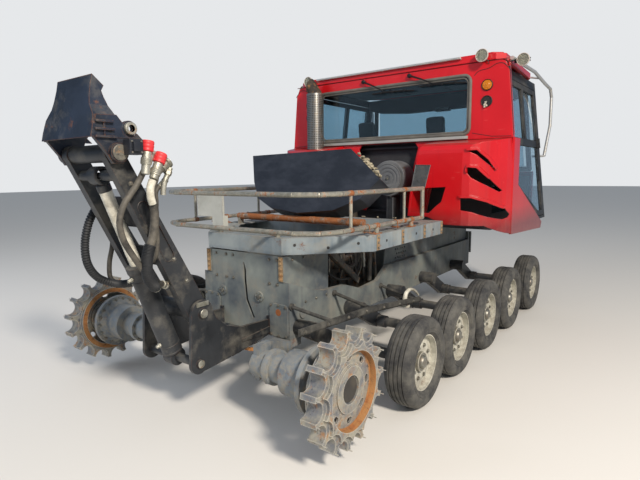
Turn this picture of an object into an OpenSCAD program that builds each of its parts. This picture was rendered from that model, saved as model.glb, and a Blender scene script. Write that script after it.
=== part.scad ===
// Snowcat groomer, parked and partly stripped: no tracks, no blade and no tiller are fitted.
// Forward is +X, left is +Y, up is +Z, and the tyres stand on z = 0. All sizes are in millimetres.
// Stations along X are counted from the sprocket axle, and shift_x moves them to the row frame.

/* [Running gear] */
// Height of the sprocket axle above the ground
sprocket_z = 447; // [400:1:500]
// Tip radius of the sprocket
sprocket_tip_r = 361; // [320:1:400]
// Radius at the root of the sprocket's teeth
sprocket_root_r = 268; // [230:1:300]
// Number of teeth on each toothed ring
sprocket_teeth = 15; // [11:1:19]
// Outer face of the sprocket from the middle plane
sprocket_face_y = 1361; // [1300:1:1400]
// Width of the sprocket's drum
sprocket_width = 161; // [140:1:220]
// Distance of the teeth's inner ends from the drum's inner edge
tooth_inset = 30; // [10:1:50]
// Depth of the sprocket's disc below its outer face
disc_depth = 46; // [30:1:70]
// Number of holes in the sprocket's disc
sprocket_holes = 8; // [5:1:10]
// Outer radius of the road wheels' tyres
tyre_r = 334; // [300:1:370]
// Width of a road wheel's tyre
tyre_w = 205; // [160:1:230]
// Outer face of the tyres from the middle plane
tyre_face_y = 1422; // [1380:1:1460]
// Radius of the rim's edge
rim_r = 205; // [180:1:220]
// Radius of the road wheels' stub axles
stub_r = 32; // [25:0.5:40]
// Running gap between a wheel's bore and its axle
wheel_gap = 0.5; // [0.3:0.1:1]

/* [Hull and deck] */
// Station of the hull's rear face
hull_rear_x = 460; // [400:5:520]
// Length of the hull
hull_len = 3890; // [3700:10:4000]
// Half width of the hull
hull_half = 430; // [400:5:470]
// How far the hull's lower tub bulges out of its sides
tub_bulge = 45; // [20:1:60]
// Underside of the hull
hull_bottom = 440; // [400:5:480]
// Top of the hull's sides
hull_top = 1080; // [1040:5:1100]
// Thickness of the hull's plates
hull_plate = 12; // [8:1:16]
// Half width of the deck frame
deck_half = 900; // [820:5:960]
// Top of the deck frame
deck_top = 1220; // [1180:5:1260]
// Depth of the deck frame's channel
channel_h = 130; // [100:5:140]
// Thickness of the channel's web and flanges
channel_t = 8; // [6:1:12]
// Front end of the deck frame's sides
deck_front_x = 2350; // [2250:10:2500]
// Half length of the deck frame's rear beam
deck_rear_half = 410; // [350:5:460]
// Station where the slanted beams meet the sides
deck_bend_x = 1000; // [900:10:1150]
// Height of the guard rail's upper tube
rail_top_z = 1555; // [1480:5:1620]
// Height of the guard rail's lower tube
rail_low_z = 1285; // [1255:5:1330]
// Radius of the guard rail's tube
rail_r = 19; // [15:1:24]
// Distance of the guard rail's side tubes inside the deck's edge
rail_inset = 30; // [20:1:80]
// Station of the guard rail's rear run
rail_rear_x = 320; // [280:5:420]
// Station where the guard rail's sides end
rail_front_x = 1930; // [1800:10:2050]

/* [Cab] */
// Station of the cab's rear face
cab_rear_x = 2850; // [2800:5:2900]
// How far the tail pods stand behind the cab's rear wall
pod_depth = 430; // [400:5:450]
// Top of the cab's roof
roof_top = 2900; // [2850:5:2950]
// Distance of the roof's rear corners inside the tail's widest line
roof_inset = 132; // [100:1:180]
// Half width of the rear window
rear_window_half = 966; // [900:2:1000]
// Sill of the rear window
rear_window_low = 2095; // [2050:5:2130]
// Head of the rear window
rear_window_high = 2698; // [2650:5:2720]
// Half width of the cab's tail at its widest
tail_half = 1432; // [1400:2:1450]
// Distance of the cab's side at the belt line inside the tail's widest line
side_inset = 132; // [100:1:160]
// Height of the belt line
belt_z = 2020; // [1980:5:2060]
// Lean of the cab's sides
side_lean = 6.7; // [4:0.1:9]
// Rear edge of the doors
door_rear_x = 3160; // [3100:10:3250]
// Front edge of the doors
door_front_x = 4430; // [4350:10:4500]
// Front of the cab's nose
nose_x = 4900; // [4850:10:4950]

/* [Rear lift] */
// Station of the arm's pivot
pivot_x = -200; // [-220:1:-180]
// Height of the arm's pivot
pivot_z = 780; // [760:1:800]
// Station of the cylinder's foot
foot_x = -240; // [-250:1:-230]
// Height of the cylinder's foot
foot_z = 440; // [430:1:450]
// Station of the pin at the rod's eye
eye_x = -700; // [-710:1:-690]
// Height of the pin at the rod's eye
eye_z = 1700; // [1690:1:1710]
// Station of the head's shaft
head_x = -735; // [-745:1:-725]
// Height of the head's shaft
head_z = 1825; // [1815:1:1835]
// Outer radius of the cylinder's barrel
barrel_r = 68; // [60:1:72]
// Radius of the rod in its white cover
rod_r = 38; // [34:0.5:42]
// Radius of the bores that take a tool's pin
tool_bore_r = 20; // [15:0.5:24]

/* [Front] */
// Radius of the front carrier's bolt holes
front_hole_r = 11; // [9:0.5:13]
// Distance between the front carrier's bolt holes across the machine
front_hole_dy = 700; // [600:5:760]
// Distance between the front carrier's bolt holes in height
front_hole_dz = 240; // [180:5:280]

/* [Hidden] */
$fn = 48;
// Stations of the five road wheels, from the rear
wheel_x = [889, 1589, 2352, 3121, 4041];
// Inner radius of the sprocket's drum, and the bore of its hub
drum_r = sprocket_root_r - 32;
hub_bore_r = 84.5;
// Distance of each wheel arm's pivot behind its wheel
arm_reach = 330;
// Distance from one cylinder of the engine to the next
engine_pitch = 150;
// Top of the rails that carry the engine
engine_foot_z = 540;
tub_half = hull_half + tub_bulge;
rail_half = deck_half - rail_inset;
roof_half = tail_half - roof_inset;
side_half = tail_half - side_inset;
// Width at which the tail panel's outline and vents are drawn, and their stretch
drawn_tail = 1432;
tail_k = tail_half / drawn_tail;
// Rear face of the tail pods, their sheet, and how far the lips over the vents stand out
pod_x = cab_rear_x - pod_depth;
pod_plate = 14;
pod_lip = 22;
// Half width of the floor between the cab's sides
floor_half = side_half - 120;
nose_half = side_half - 90;
// Distance of the cab's corner post from the middle, at the belt line
post_half = tail_half - 17;
// Distance of the round lamps on the corner posts from the middle
lamp_y = tail_half - 294;
// Name and sign of each side
sides = [["left", 1], ["right", -1]];
head_rear_x = head_x - 150;
front_x = nose_x;
tool_x = head_x + 80;
tool_z = head_z + 135;
knuckle = 1;
// Tube around the foot of the windscreen
screen_x = 4600;
screen_mid_x = 4800;
screen_top_x = 4480;
screen_half = side_half - 140;
screen_z = 1735;
screen_r = 32;
nose_top = screen_z - screen_r - knuckle - 0.3;
shift_x = -(head_rear_x + front_x) / 2;
hull_front_x = hull_rear_x + hull_len;
deck_low = deck_top - channel_h;
tyre_mid_y = tyre_face_y - tyre_w / 2;
cyl_len = sqrt(pow(eye_x - foot_x, 2) + pow(eye_z - foot_z, 2));
cyl_tilt = atan2(foot_x - eye_x, eye_z - foot_z);
arm_len = sqrt(pow(head_x - pivot_x, 2) + pow(head_z - pivot_z, 2));
arm_tilt = atan2(pivot_x - head_x, head_z - pivot_z);
red = "#c8141c";
dark = "#30343a";
steel = "#8d9298";

// Half the slanted vents of a tail panel: each is a list of [distance from the middle, height]
vents = [
  [[1105, 1905], [1190, 1910], [1280, 1817], [1335, 1717], [1255, 1790], [1180, 1868]],
  [[1105, 1690], [1105, 1746], [1190, 1738], [1285, 1633], [1370, 1515], [1350, 1502], [1270, 1564], [1140, 1646]],
  [[1045, 1446], [1150, 1447], [1280, 1404], [1390, 1335], [1415, 1272], [1405, 1243], [1375, 1226], [1275, 1258], [1150, 1309], [1050, 1325]]
];

// A box given by two opposite corners
module box(a, b) {
  translate(a) cube(b - a);
}

// A cylinder across the machine, from y0 to y1, around the line at x, z
module tube_y(x, z, r, y0, y1) {
  translate([x, y1, z]) rotate([90, 0, 0]) cylinder(r = r, h = y1 - y0);
}

// A round bar between two points
module bar(p, q, r) {
  v = q - p;
  l = norm(v);
  translate(p) rotate([0, acos(v[2] / l), atan2(v[1], v[0])]) cylinder(r = r, h = l);
}

// A tube through a list of points, with a round knuckle at each bend
module pipe(pts, r) {
  for (i = [0 : len(pts) - 2]) bar(pts[i], pts[i + 1], r);
  for (i = [1 : len(pts) - 2]) translate(pts[i]) sphere(r = r + knuckle);
}

// A rectangle with true round corners, centred
module rrect(w, h, r) {
  square([w - 2 * r, h], center = true);
  square([w, h - 2 * r], center = true);
  for (sx = [-1, 1], sy = [-1, 1]) translate([sx * (w / 2 - r), sy * (h / 2 - r)]) circle(r = r);
}

// A plate drawn in x and z, from y0 to y1
module plate_xz(y0, y1) {
  translate([0, y1, 0]) rotate([90, 0, 0]) linear_extrude(y1 - y0) children();
}

// A plate drawn in y and z, from x0 to x1
module plate_yz(x0, x1) {
  translate([x0, 0, 0]) rotate([90, 0, 90]) linear_extrude(x1 - x0) children();
}

// Keeps a left-hand part as it is, or mirrors it to the right
module side(s) {
  if (s > 0) children();
  else mirror([0, 1, 0]) children();
}

// Places a part of the cab's side: x is the station, y points outwards, z runs up the leaning plane
module on_side(s) {
  side(s) translate([0, side_half, belt_z]) rotate([side_lean, 0, 0]) children();
}

// Outline of the deck frame, drawn in by d
module deck_outline(d) {
  k = d * 0.42;
  polygon([
    [hull_rear_x + d, -deck_rear_half + k], [deck_bend_x + k, -deck_half + d], [deck_front_x, -deck_half + d],
    [deck_front_x, deck_half - d], [deck_bend_x + k, deck_half - d], [hull_rear_x + d, deck_rear_half - k]
  ]);
}

// Side view of the hull's lower tub, drawn in by d: its upper edge falls to the engine's opening
module tub_outline(d) {
  polygon([
    [hull_rear_x + d, hull_bottom + d], [hull_rear_x + d, 885 - d], [560, 850 - d], [780, 770 - d], [905, 741 - d], [1230, 727 - d],
    [1500, 640 - d], [1800, 660 - d], [2000, 780 - d], [hull_front_x - d, 780 - d], [hull_front_x - d, hull_bottom + d]
  ]);
}

module hull_body() {
  color(dark) difference() {
    union() {
      box([hull_rear_x, -hull_half, hull_bottom], [hull_front_x, hull_half, hull_top]);
      plate_xz(-tub_half, tub_half) tub_outline(0);
    }
    box([hull_rear_x + hull_plate, -hull_half + hull_plate, hull_bottom + hull_plate],
        [hull_front_x - hull_plate, hull_half - hull_plate, hull_top + 1]);
    plate_xz(-tub_half + hull_plate, tub_half - hull_plate) tub_outline(hull_plate);
    // openings in both sides at the engine, down to the tub's ledge
    plate_xz(-hull_half - 1, hull_half + 1)
      polygon([[1030, 1056], [1030, 722], [1230, 712], [1500, 625], [1800, 645], [2000, 765], [2040, 1056]]);
    // grid of holes ahead of the opening
    for (i = [0 : 4], j = [0 : 3])
      tube_y(2250 + i * 52 + (j % 2) * 26, 810 + j * 46, 13, -hull_half - 20, hull_half + 20);
    // gap between the two rear covers
    plate_yz(hull_rear_x - 30, hull_rear_x + hull_plate + 1)
      polygon([[-6, 1000], [-26, 940], [-26, 860], [-40, 700], [-110, 560], [-90, 545], [-14, 690], [2, 860], [2, 1000]]);
  }
  color(dark) {
    for (s = [-1, 1]) side(s) {
      // top flange, corner post, boss on the tub and the rounded cover low on the rear face
      box([hull_rear_x + hull_plate - 1, hull_half - 45, hull_top - 10],
          [hull_front_x - hull_plate + 1, hull_half - hull_plate + 1, hull_top]);
      box([hull_rear_x - 8, hull_half - 50, 886], [hull_rear_x + 1, hull_half, hull_top]);
      tube_y(620, 620, 42, tub_half - 1, tub_half + 12);
      plate_yz(hull_rear_x - 14, hull_rear_x + 1) translate([tub_half - 100, 580]) rrect(180, 260, 40);
    }
    for (y = [-170, 250]) translate([hull_rear_x - 12, y, 740]) rotate([0, 90, 0]) cylinder(r = 42, h = 13);
    // bulkheads of the engine bay, and the rails that carry the engine
    inner = hull_half - hull_plate + 1;
    for (x = [1010, 2160]) box([x, -inner, hull_bottom + hull_plate - 1], [x + 10, inner, hull_top - 40]);
    for (x = [1150, 1950]) box([x, hull_plate - 1 - tub_half, 480], [x + 60, tub_half - hull_plate + 1, engine_foot_z]);
    // cover of the hull under the cab
    box([2400, -inner, hull_top - 10], [hull_front_x - hull_plate + 1, inner, hull_top]);
  }
}

// The diesel engine, seen through the openings: crankcase with ribs, heads, covers and manifolds
module engine_block() {
  color("#6a6c6c") {
    box([1110, -230, engine_foot_z], [2090, 230, 810]);
    for (i = [0 : 5]) {
      x = 1150 + i * engine_pitch;
      box([x, -260, 570], [x + 24, 260, 770]);
      box([x, -140, 809], [x + 128, 140, 960]);
      box([x + 12, -110, 959], [x + 116, 110, 1040]);
      tube_y(x + 64, 880, 26, -232, 232);
    }
    for (y = [-1, 1]) bar([1130, y * 250, 880], [2070, y * 250, 880], 44);
    translate([1040, 0, 700]) rotate([0, 90, 0]) cylinder(r = 150, h = 71);
  }
}

module deck_frame() {
  color("#5d6c78") {
    // outer channel with its flanges
    translate([0, 0, deck_low]) linear_extrude(channel_h) difference() {
      deck_outline(0);
      deck_outline(channel_t);
    }
    translate([0, 0, deck_low]) linear_extrude(channel_t) difference() {
      deck_outline(channel_t - 1);
      deck_outline(60);
    }
    translate([0, 0, deck_top - channel_t]) linear_extrude(channel_t) difference() {
      deck_outline(channel_t - 1);
      deck_outline(230);
    }
    // cross beams that rest on the hull
    for (x = [700, 1500, 2280]) {
      w = x < 900 ? deck_rear_half + (x - hull_rear_x) * 0.907 - 12 : deck_half - channel_t;
      difference() {
        box([x, -w, hull_top], [x + 60, w, deck_top - channel_t]);
        for (s = [-1, 1]) box([x - 1, s > 0 ? w - 65 : -w - 1, deck_low - 11], [x + 61, s > 0 ? w + 1 : -w + 65, deck_low + channel_t]);
      }
    }
  }
}

// One side tube of the rail, upper or lower, seen from above
function rail_path(z) = [
  [rail_front_x, -rail_half, z], [rail_rear_x + 260, -rail_half, z], [rail_rear_x + 80, -rail_half + 60, z],
  [rail_rear_x, -rail_half + 230, z], [rail_rear_x, rail_half - 230, z], [rail_rear_x + 80, rail_half - 60, z],
  [rail_rear_x + 260, rail_half, z], [rail_front_x, rail_half, z]
];

module deck_rail() {
  color("#9b9a92") {
    pipe(rail_path(rail_top_z), rail_r);
    pipe(rail_path(rail_low_z), rail_r);
    for (s = [-1, 1]) {
      // ends, posts and feet
      bar([rail_front_x, s * rail_half, rail_low_z], [rail_front_x, s * rail_half, rail_top_z], rail_r);
      for (z = [rail_low_z, rail_top_z]) translate([rail_front_x, s * rail_half, z]) sphere(r = rail_r + knuckle);
      for (x = [rail_rear_x + 390, 1560]) bar([x, s * rail_half, rail_low_z], [x, s * rail_half, rail_top_z], 13);
      for (x = [rail_rear_x + 760, 1700])
        bar([x, s * rail_half, deck_top], [x, s * rail_half, rail_low_z], 22);
      bar([rail_rear_x, s * 320, rail_low_z], [hull_rear_x + 60, s * 320, deck_top + 18], 15);
      translate([hull_rear_x + 60, s * 320, deck_top]) cylinder(r = 22, h = 24);
      // feet of the rusty bar that the hood lies on
      box([1105, s > 0 ? 690 : -720, deck_top], [1155, s > 0 ? 720 : -690, deck_top + 75]);
    }
    tube_y(1130, deck_top + 75, 30, -725, 725);
  }
}

module deck_box() {
  color("#9d9f98") {
    box([640, 420, deck_top], [700, 560, 1340]);
    box([640, 420, 1330], [660, 757, 1520]);
  }
}

// Outline of the hood: width to the left is +, height runs up its slope, drawn in by d
module hood_shape(d) {
  polygon([
    [-760 + 2 * d, 330], [-620 + d, 150 + d], [-380, 40 + d], [0, d], [330, 40 + d], [520, 130 + d],
    [640 - d, 300], [770 - 2 * d, 590 - d], [-400, 620 - d]
  ]);
}

// The engine's cover lies tilted on the deck, hollow on its front side
module engine_hood() {
  color("#1d2026") translate([1075, -60, 1356]) rotate([0, 26, 0]) difference() {
    plate_yz(0, 170) hood_shape(0);
    plate_yz(12, 171) hood_shape(12);
  }
}

module air_cleaner() {
  color("#a9adad") {
    translate([2560, -170, 1640]) rotate([0, 90, 0]) cylinder(r = 195, h = 255);
    translate([2535, -170, 1640]) rotate([0, 90, 0]) cylinder(r = 165, h = 26);
    box([2600, -210, hull_top], [2780, -130, 1460]);
  }
}

module exhaust_stack() {
  color("#9a9c98") difference() {
    union() {
      translate([2690, 935, 1300]) cylinder(r = 76, h = 1600);
      translate([2690, 935, 1500]) difference() {
        cylinder(r = 104, h = 1180);
        translate([0, 0, -1]) cylinder(r = 98, h = 1182);
      }
      for (z = [1520, 2100, 2660]) translate([2690, 935, z]) difference() {
        cylinder(r = 99, h = 8);
        translate([0, 0, -1]) cylinder(r = 75, h = 10);
      }
      pipe([[2690, 380, hull_top + 1], [2690, 380, 1330], [2690, 935, 1330]], 55);
    }
    translate([2690, 935, 1420]) cylinder(r = 70, h = 1600);
    // slanted mouth
    translate([2690, 935, 2850]) rotate([0, -35, 0]) translate([-300, -300, 0]) cube([600, 600, 400]);
  }
}

// Rings of a final drive, from the middle outwards: radius, first and last distance from the middle
drive_rings = [
  [94, 590, 716], [118, 715, 760], [98, 759, 886], [150, 885, 1041], [218, 1074, 1110], [150, 1109, 1150], [84, 1149, 1316]
];

// Left-hand drive, with the casting that carries it under the hull's corner
module drive_side(s) {
  side(s) {
    for (r = drive_rings) tube_y(0, sprocket_z, r[0], r[1], r[2]);
    translate([0, 1075, sprocket_z]) rotate([90, 0, 0]) cylinder(r1 = 192, r2 = 150, h = 35);
    // bolt heads on the flange
    for (i = [0 : 11]) rotate_about(i * 30) tube_y(205, 0, 8, 1066, 1075);
    hull() {
      box([-60, 600, sprocket_z - 92], [60, 650, sprocket_z + 140]);
      box([380, 330, hull_bottom - 68], [hull_rear_x - 2, 500, hull_bottom]);
    }
    box([hull_rear_x - 3, 330, hull_bottom - 68], [hull_rear_x + 140, tub_half - 5, hull_bottom]);
  }
}

// Turns a piece around the sprocket's axle
module rotate_about(a) {
  translate([0, 0, sprocket_z]) rotate([0, a, 0]) children();
}

module final_drives() {
  color("#7c838a") for (sd = sides) drive_side(sd[1]);
}

// A trailing arm with its pivot tube on the hull and its stub axle
module wheel_arm(x, s) {
  side(s) {
    px = x - arm_reach;
    tube_y(px, 520, 62, tub_half, 640);
    plate_xz(560, 610) polygon([[px - 50, 470], [px + 20, 580], [x + 46, tyre_r + 46], [x + 46, tyre_r - 46], [x - 40, tyre_r - 50]]);
    tube_y(x, tyre_r, 55, 560, 690);
    tube_y(x, tyre_r, stub_r + 10, 600, tyre_mid_y - 70);
    tube_y(x, tyre_r, stub_r, 1000, tyre_mid_y + 38);
  }
}

module wheel_arms() {
  color("#2a2d31") for (sd = sides, x = wheel_x) wheel_arm(x, sd[1]);
}

// Stays of the mud strips: station, height of the foot and height at the strip
strip_stays = [[480, 700, 655], [1050, 690, 612], [1850, 600, 515]];

module mud_strips() {
  color("#1b1c1e") for (s = [-1, 1]) {
    side(s) {
      plate_xz(845, 853) polygon([[110, 690], [1000, 640], [1950, 520], [1950, 470], [1000, 585], [110, 640]]);
      // stays from the hull's side, each on a round foot
      for (st = strip_stays) {
        tube_y(st[0], st[1], 26, tub_half + 0.3, tub_half + 14);
        bar([st[0], tub_half + 9, st[1]], [st[0], 846, st[2]], 14);
      }
    }
  }
}

module rear_bracket() {
  color("#25282d") {
    for (s = [-1, 1]) side(s) {
      // low plate from the hull's rear face out to the arm's pivot and the cylinder's foot
      plate_xz(250, 275) union() {
        polygon([
          [hull_rear_x, 455], [hull_rear_x, 575], [150, 592], [10, 640], [-80, 720], [pivot_x + 60, pivot_z + 67],
          [pivot_x - 88, pivot_z + 20], [foot_x - 70, foot_z + 20], [foot_x - 20, foot_z - 69], [120, 405], [300, 430]
        ]);
        translate([pivot_x, pivot_z]) circle(r = 90);
        translate([foot_x, foot_z]) circle(r = 72);
      }
      // foot on the hull's rear face, and a gusset
      box([hull_rear_x - 14, 249, 455], [hull_rear_x, 284, 600]);
      plate_xz(274, 284) polygon([[150, 480], [hull_rear_x - 13, 470], [hull_rear_x - 13, 520], [150, 500]]);
    }
    // arm pivot pin and cylinder foot pin
    tube_y(pivot_x, pivot_z, 34, -290, 290);
    tube_y(foot_x, foot_z, 30, -290, 290);
    // cross tube low between the plates
    tube_y(230, 500, 55, -255, 255);
    for (s = [-1, 1]) box([300, s > 0 ? 250 : -275, 378], [310, s > 0 ? 275 : -250, 440]);
    // the rusty lip under the hull's rear edge
    plate_yz(300, 310) polygon([
      [-330, 395], [-200, 372], [0, 366], [200, 372], [330, 395], [330, 372], [200, 348], [0, 342], [-200, 348], [-330, 372]
    ]);
  }
}

// Side view of an arm beam, drawn up from the pivot along the arm
module beam_shape() {
  polygon([[-80, 0], [-78, 160], [-66, 700], [-56, arm_len], [56, arm_len], [66, 700], [80, 160], [80, 0]]);
  circle(r = 80);
  translate([0, arm_len]) circle(r = 58);
}

module lift_arm() {
  color("#26282c") difference() {
    union() {
      translate([pivot_x, 0, pivot_z]) rotate([0, -arm_tilt, 0]) {
        for (y0 = [-240, 180]) difference() {
          plate_xz(y0, y0 + 60) beam_shape();
          // long oval pressing on the outer face
          plate_xz(y0 > 0 ? y0 + 52 : y0 - 1, y0 > 0 ? y0 + 61 : y0 + 8) translate([0, arm_len * 0.55])
            union() { rrect(70, 420, 34.9); }
        }
        // cross plates on the front side, clear of the cylinder
        box([44, -181, 330], [58, 181, 480]);
        box([40, -181, 640], [52, 181, 860]);
      }
      tube_y(pivot_x, pivot_z, 58, -181, 181);
      tube_y(head_x, head_z, 52, -181, 181);
      tube_y(eye_x, eye_z, 20, -181, 181);
      for (s = [-1, 1]) tube_y(eye_x, eye_z, 32, s > 0 ? 60 : -181, s > 0 ? 181 : -60);
    }
    tube_y(pivot_x, pivot_z, 34.5, -300, 300);
    tube_y(head_x, head_z, 34.5, -300, 300);
  }
}

// Bell form of the head: half width and height above its shaft
head_side = [[278, 60], [278, 130], [264, 200], [240, 228], [212, 258], [196, 305], [188, 368], [192, 430]];

module lift_head() {
  color("#23283a") {
    difference() {
      union() {
        // shell, open towards the front and at the bottom
        difference() {
          head_solid(0);
          head_solid(10);
          tube_y(tool_x, tool_z, 48, -301, 301);
        }
        // cheeks that reach down to the shaft, outside the arm
        for (y0 = [-275, 250]) plate_xz(y0, y0 + 25) union() {
          polygon([
            [head_x - 60, head_z - 10], [head_x - 138, head_z + 90], [head_x - 112, head_z + 200], [head_x + 6, head_z + 205],
            [head_x + 38, head_z + 167], [head_x + 110, head_z + 110], [head_x + 62, head_z - 20], [head_x + 30, head_z - 60],
            [head_x - 30, head_z - 60]
          ]);
          translate([tool_x, tool_z]) circle(r = 44);
        }
      }
      tube_y(tool_x, tool_z, tool_bore_r, -301, 301);
    }
    tube_y(head_x, head_z, 34, -282, 282);
    for (s = [-1, 1]) tube_y(head_x, head_z, 52, s > 0 ? 276 : -300, s > 0 ? 300 : -276);
  }
}

// The head's outer form, drawn in by d: wide and deep at the bottom, narrow at the top, open to the front
module head_solid(d) {
  open = d * 20;
  intersection() {
    plate_xz(-300, 300) polygon([
      [head_rear_x + d, head_z + 80 - d * 3], [head_x - 71 + d, head_z + 422 - d], [head_x - 6 + open, head_z + 368 - d],
      [head_x - 24 + open, head_z + 338], [head_x - 5 + open, head_z + 270], [head_x + 6 + open, head_z + 208],
      [head_x + 38 + open, head_z + 167], [head_x + 130 + open, head_z + 105], [head_x + 155 + open, head_z + 80 - d * 3]
    ]);
    plate_yz(head_x - 200, head_x + 500) polygon([
      for (p = concat(head_side, [for (i = [len(head_side) - 1 : -1 : 0]) [-head_side[i][0], head_side[i][1]]]))
        [p[0] - sign(p[0]) * d, head_z + p[1] - (p[1] > 400 ? d : p[1] < 70 ? d * 3 : 0)]
    ]);
  }
}

module lift_barrel() {
  color("#4a4e54") translate([foot_x, 0, foot_z]) rotate([0, -cyl_tilt, 0]) difference() {
    union() {
      tube_y(0, 0, 62, -45, 45);
      translate([0, 0, 40]) cylinder(r = barrel_r, h = 660);
      translate([0, 0, 690]) cylinder(r = barrel_r + 5, h = 40);
    }
    tube_y(0, 0, 30.5, -50, 50);
    translate([0, 0, 90]) cylinder(r = barrel_r - 11, h = 590);
    translate([0, 0, 600]) cylinder(r = rod_r + 0.6, h = 200);
  }
}

module lift_rod() {
  color("#d9d9d2") translate([foot_x, 0, foot_z]) rotate([0, -cyl_tilt, 0]) difference() {
    union() {
      translate([0, 0, 380]) cylinder(r = rod_r, h = cyl_len - 380 - 50);
      translate([0, 0, 330]) cylinder(r = barrel_r - 12, h = 55);
      tube_y(0, cyl_len, 56, -45, 45);
    }
    tube_y(0, cyl_len, 39, -50, 50);
  }
}

// Places a hose point on the arm: u forward of its axis, y across, t up from the pivot
function on_arm(u, y, t) = [
  pivot_x + u * cos(arm_tilt) - t * sin(arm_tilt), y, pivot_z + u * sin(arm_tilt) + t * cos(arm_tilt)
];

module arm_hoses() {
  color("#242426") {
    for (i = [0 : 2]) pipe([
      on_arm(150 + i * 26, -275 - (i % 2) * 30, 1010 - i * 95), on_arm(115 + i * 18, -290, 840 - i * 60), on_arm(95, -300 + i * 4, 640),
      on_arm(100 + i * 12, -290 + i * 45, 420 + i * 20), on_arm(105 + i * 12, -200 + i * 40, 250)
    ], 17);
    for (i = [0 : 1]) pipe([
      on_arm(-20, 262 + i * 46, 880), on_arm(-95, 300 + i * 46, 720), on_arm(-120, 330 + i * 46, 480),
      on_arm(-60, 300 + i * 46, 260), on_arm(20, 262 + i * 46, 180)
    ], 19);
    // clamps that hold the hoses to the beams
    box_on_arm([78.4, -240, 235], [150, -60, 265]);
    box_on_arm([-20, 240.5, 860], [20, 340, 890]);
    box_on_arm([10, 240.5, 165], [40, 340, 195]);
    box_on_arm([70, -330, 620], [125, -240.5, 650]);
  }
}

module box_on_arm(a, b) {
  translate([pivot_x, 0, pivot_z]) rotate([0, -arm_tilt, 0]) box(a, b);
}

module front_carrier() {
  color(dark) difference() {
    union() {
      box([hull_front_x, -460, 520], [hull_front_x + 30, 460, 880]);
      for (s = [-1, 1]) box([hull_front_x + 29, s > 0 ? 250 : -290, 560], [hull_front_x + 200, s > 0 ? 290 : -250, 840]);
      box([hull_front_x + 190, -430, 560], [hull_front_x + 220, 430, 860]);
      tube_y(hull_front_x + 110, 640, 24, -292, 292);
    }
    for (y = [-1, 1], z = [-1, 1]) translate([hull_front_x + 150, y * front_hole_dy / 2, 710 + z * front_hole_dz / 2])
      rotate([0, 90, 0]) cylinder(r = front_hole_r, h = 120);
  }
}

module cab_tub() {
  color("#2b2d30") {
    // floor, firewall and the bulkhead behind the seats
    box([cab_rear_x + 130, -floor_half, hull_top], [4560, floor_half, hull_top + 30]);
    box([cab_rear_x + 130, -floor_half, hull_top + 29], [cab_rear_x + 150, floor_half, 2030]);
    box([4540, -floor_half, hull_top + 29], [4560, floor_half, 1640]);
    // closed box under the rear window
    difference() {
      box([cab_rear_x + 60, -760, 1240], [cab_rear_x + 131, 760, 2000]);
      box([cab_rear_x + 50, -740, 1260], [cab_rear_x + 120, 740, 1980]);
    }
    box([cab_rear_x + 41, -floor_half, 2029], [cab_rear_x + 149, floor_half, 2045]);
    for (s = [-1, 1]) side(s) box([cab_rear_x + 149, floor_half - 20, hull_top + 29], [4541, floor_half, 1250]);
  }
}

module cab_rear_wall() {
  color(red) {
    difference() {
      plate_yz(cab_rear_x, cab_rear_x + 40) polygon([
        [-post_half, 2040], [63 - post_half, 2700], [105 - post_half, 2790], [155 - post_half, 2815],
        [post_half - 155, 2815], [post_half - 105, 2790], [post_half - 63, 2700], [post_half, 2040]
      ]);
      plate_yz(cab_rear_x - 1, cab_rear_x + 41) translate([0, (rear_window_low + rear_window_high) / 2])
        rrect(2 * rear_window_half, rear_window_high - rear_window_low, 70);
      // the lower lamp of each side is missing from its hole
      for (s = [-1, 1]) translate([cab_rear_x - 1, s * lamp_y, 2416]) rotate([0, 90, 0]) cylinder(r = 46, h = 50);
    }
    // skins of both corner posts, ahead of the rear face
    for (s = [-1, 1]) side(s) translate([0, post_half, 2040]) rotate([5.45, 0, 0]) linear_extrude(745) polygon([
      [cab_rear_x + 39, -14], [cab_rear_x + 39, -2], [cab_rear_x + 80, -5], [cab_rear_x + 148, -41],
      [cab_rear_x + 148, -98], [cab_rear_x + 138, -98], [cab_rear_x + 138, -50], [cab_rear_x + 76, -17]
    ]);
  }
}

module rear_glass() {
  color("#a8c0cc") plate_yz(cab_rear_x + 14, cab_rear_x + 20) translate([0, (rear_window_low + rear_window_high) / 2])
    rrect(2 * rear_window_half - 1, rear_window_high - rear_window_low - 1, 69.5);
}

module cab_roof() {
  color(red) difference() {
    union() {
      translate([0, 0, 2816]) linear_extrude(60) roof_plan(0);
      translate([0, 0, 2875]) linear_extrude(roof_top - 2875) roof_plan(45);
    }
    translate([0, 0, 2800]) linear_extrude(60) roof_plan(40);
  }
}

module roof_plan(d) {
  polygon([
    [cab_rear_x - 10 + d, -roof_half + 80 + d], [cab_rear_x + 60 + d, -roof_half + d], [4150, 65 - roof_half + d],
    [4430, 180 - roof_half + d], [4600 - d, 500 - roof_half], [4640 - d, 0], [4600 - d, roof_half - 500], [4430, roof_half - 180 - d],
    [4150, roof_half - 65 - d], [cab_rear_x + 60 + d, roof_half - d],
    [cab_rear_x - 10 + d, roof_half - 80 - d]
  ]);
}

// Outer wall of a tail pod in plan: distance from its rear face, distance from the middle, and the way inwards
pod_wall = [
  [0, 1060, 1, 0], [15, 1130, 0.93, -0.37], [60, 1210, 0.8, -0.6], [130, 1285, 0.64, -0.77],
  [230, 1350, 0.48, -0.88], [330, 1395, 0.35, -0.94], [430, 1424, 0.2, -0.98], [pod_depth + 12, 1430, 0, -1]
];

// Plan of a tail pod, drawn in by d, as a tall block
module pod_plan(d) {
  front = pod_x + pod_depth + 14 + abs(d) * 9;
  translate([0, 0, 900]) linear_extrude(height = 1200) scale([1, tail_k]) polygon(concat(
    [for (p = pod_wall) [pod_x + p[0] + p[2] * d, p[1] + p[3] * d]],
    [[front, 1430 - d], [front, 300], [pod_x + d, 300]]
  ));
}

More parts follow.
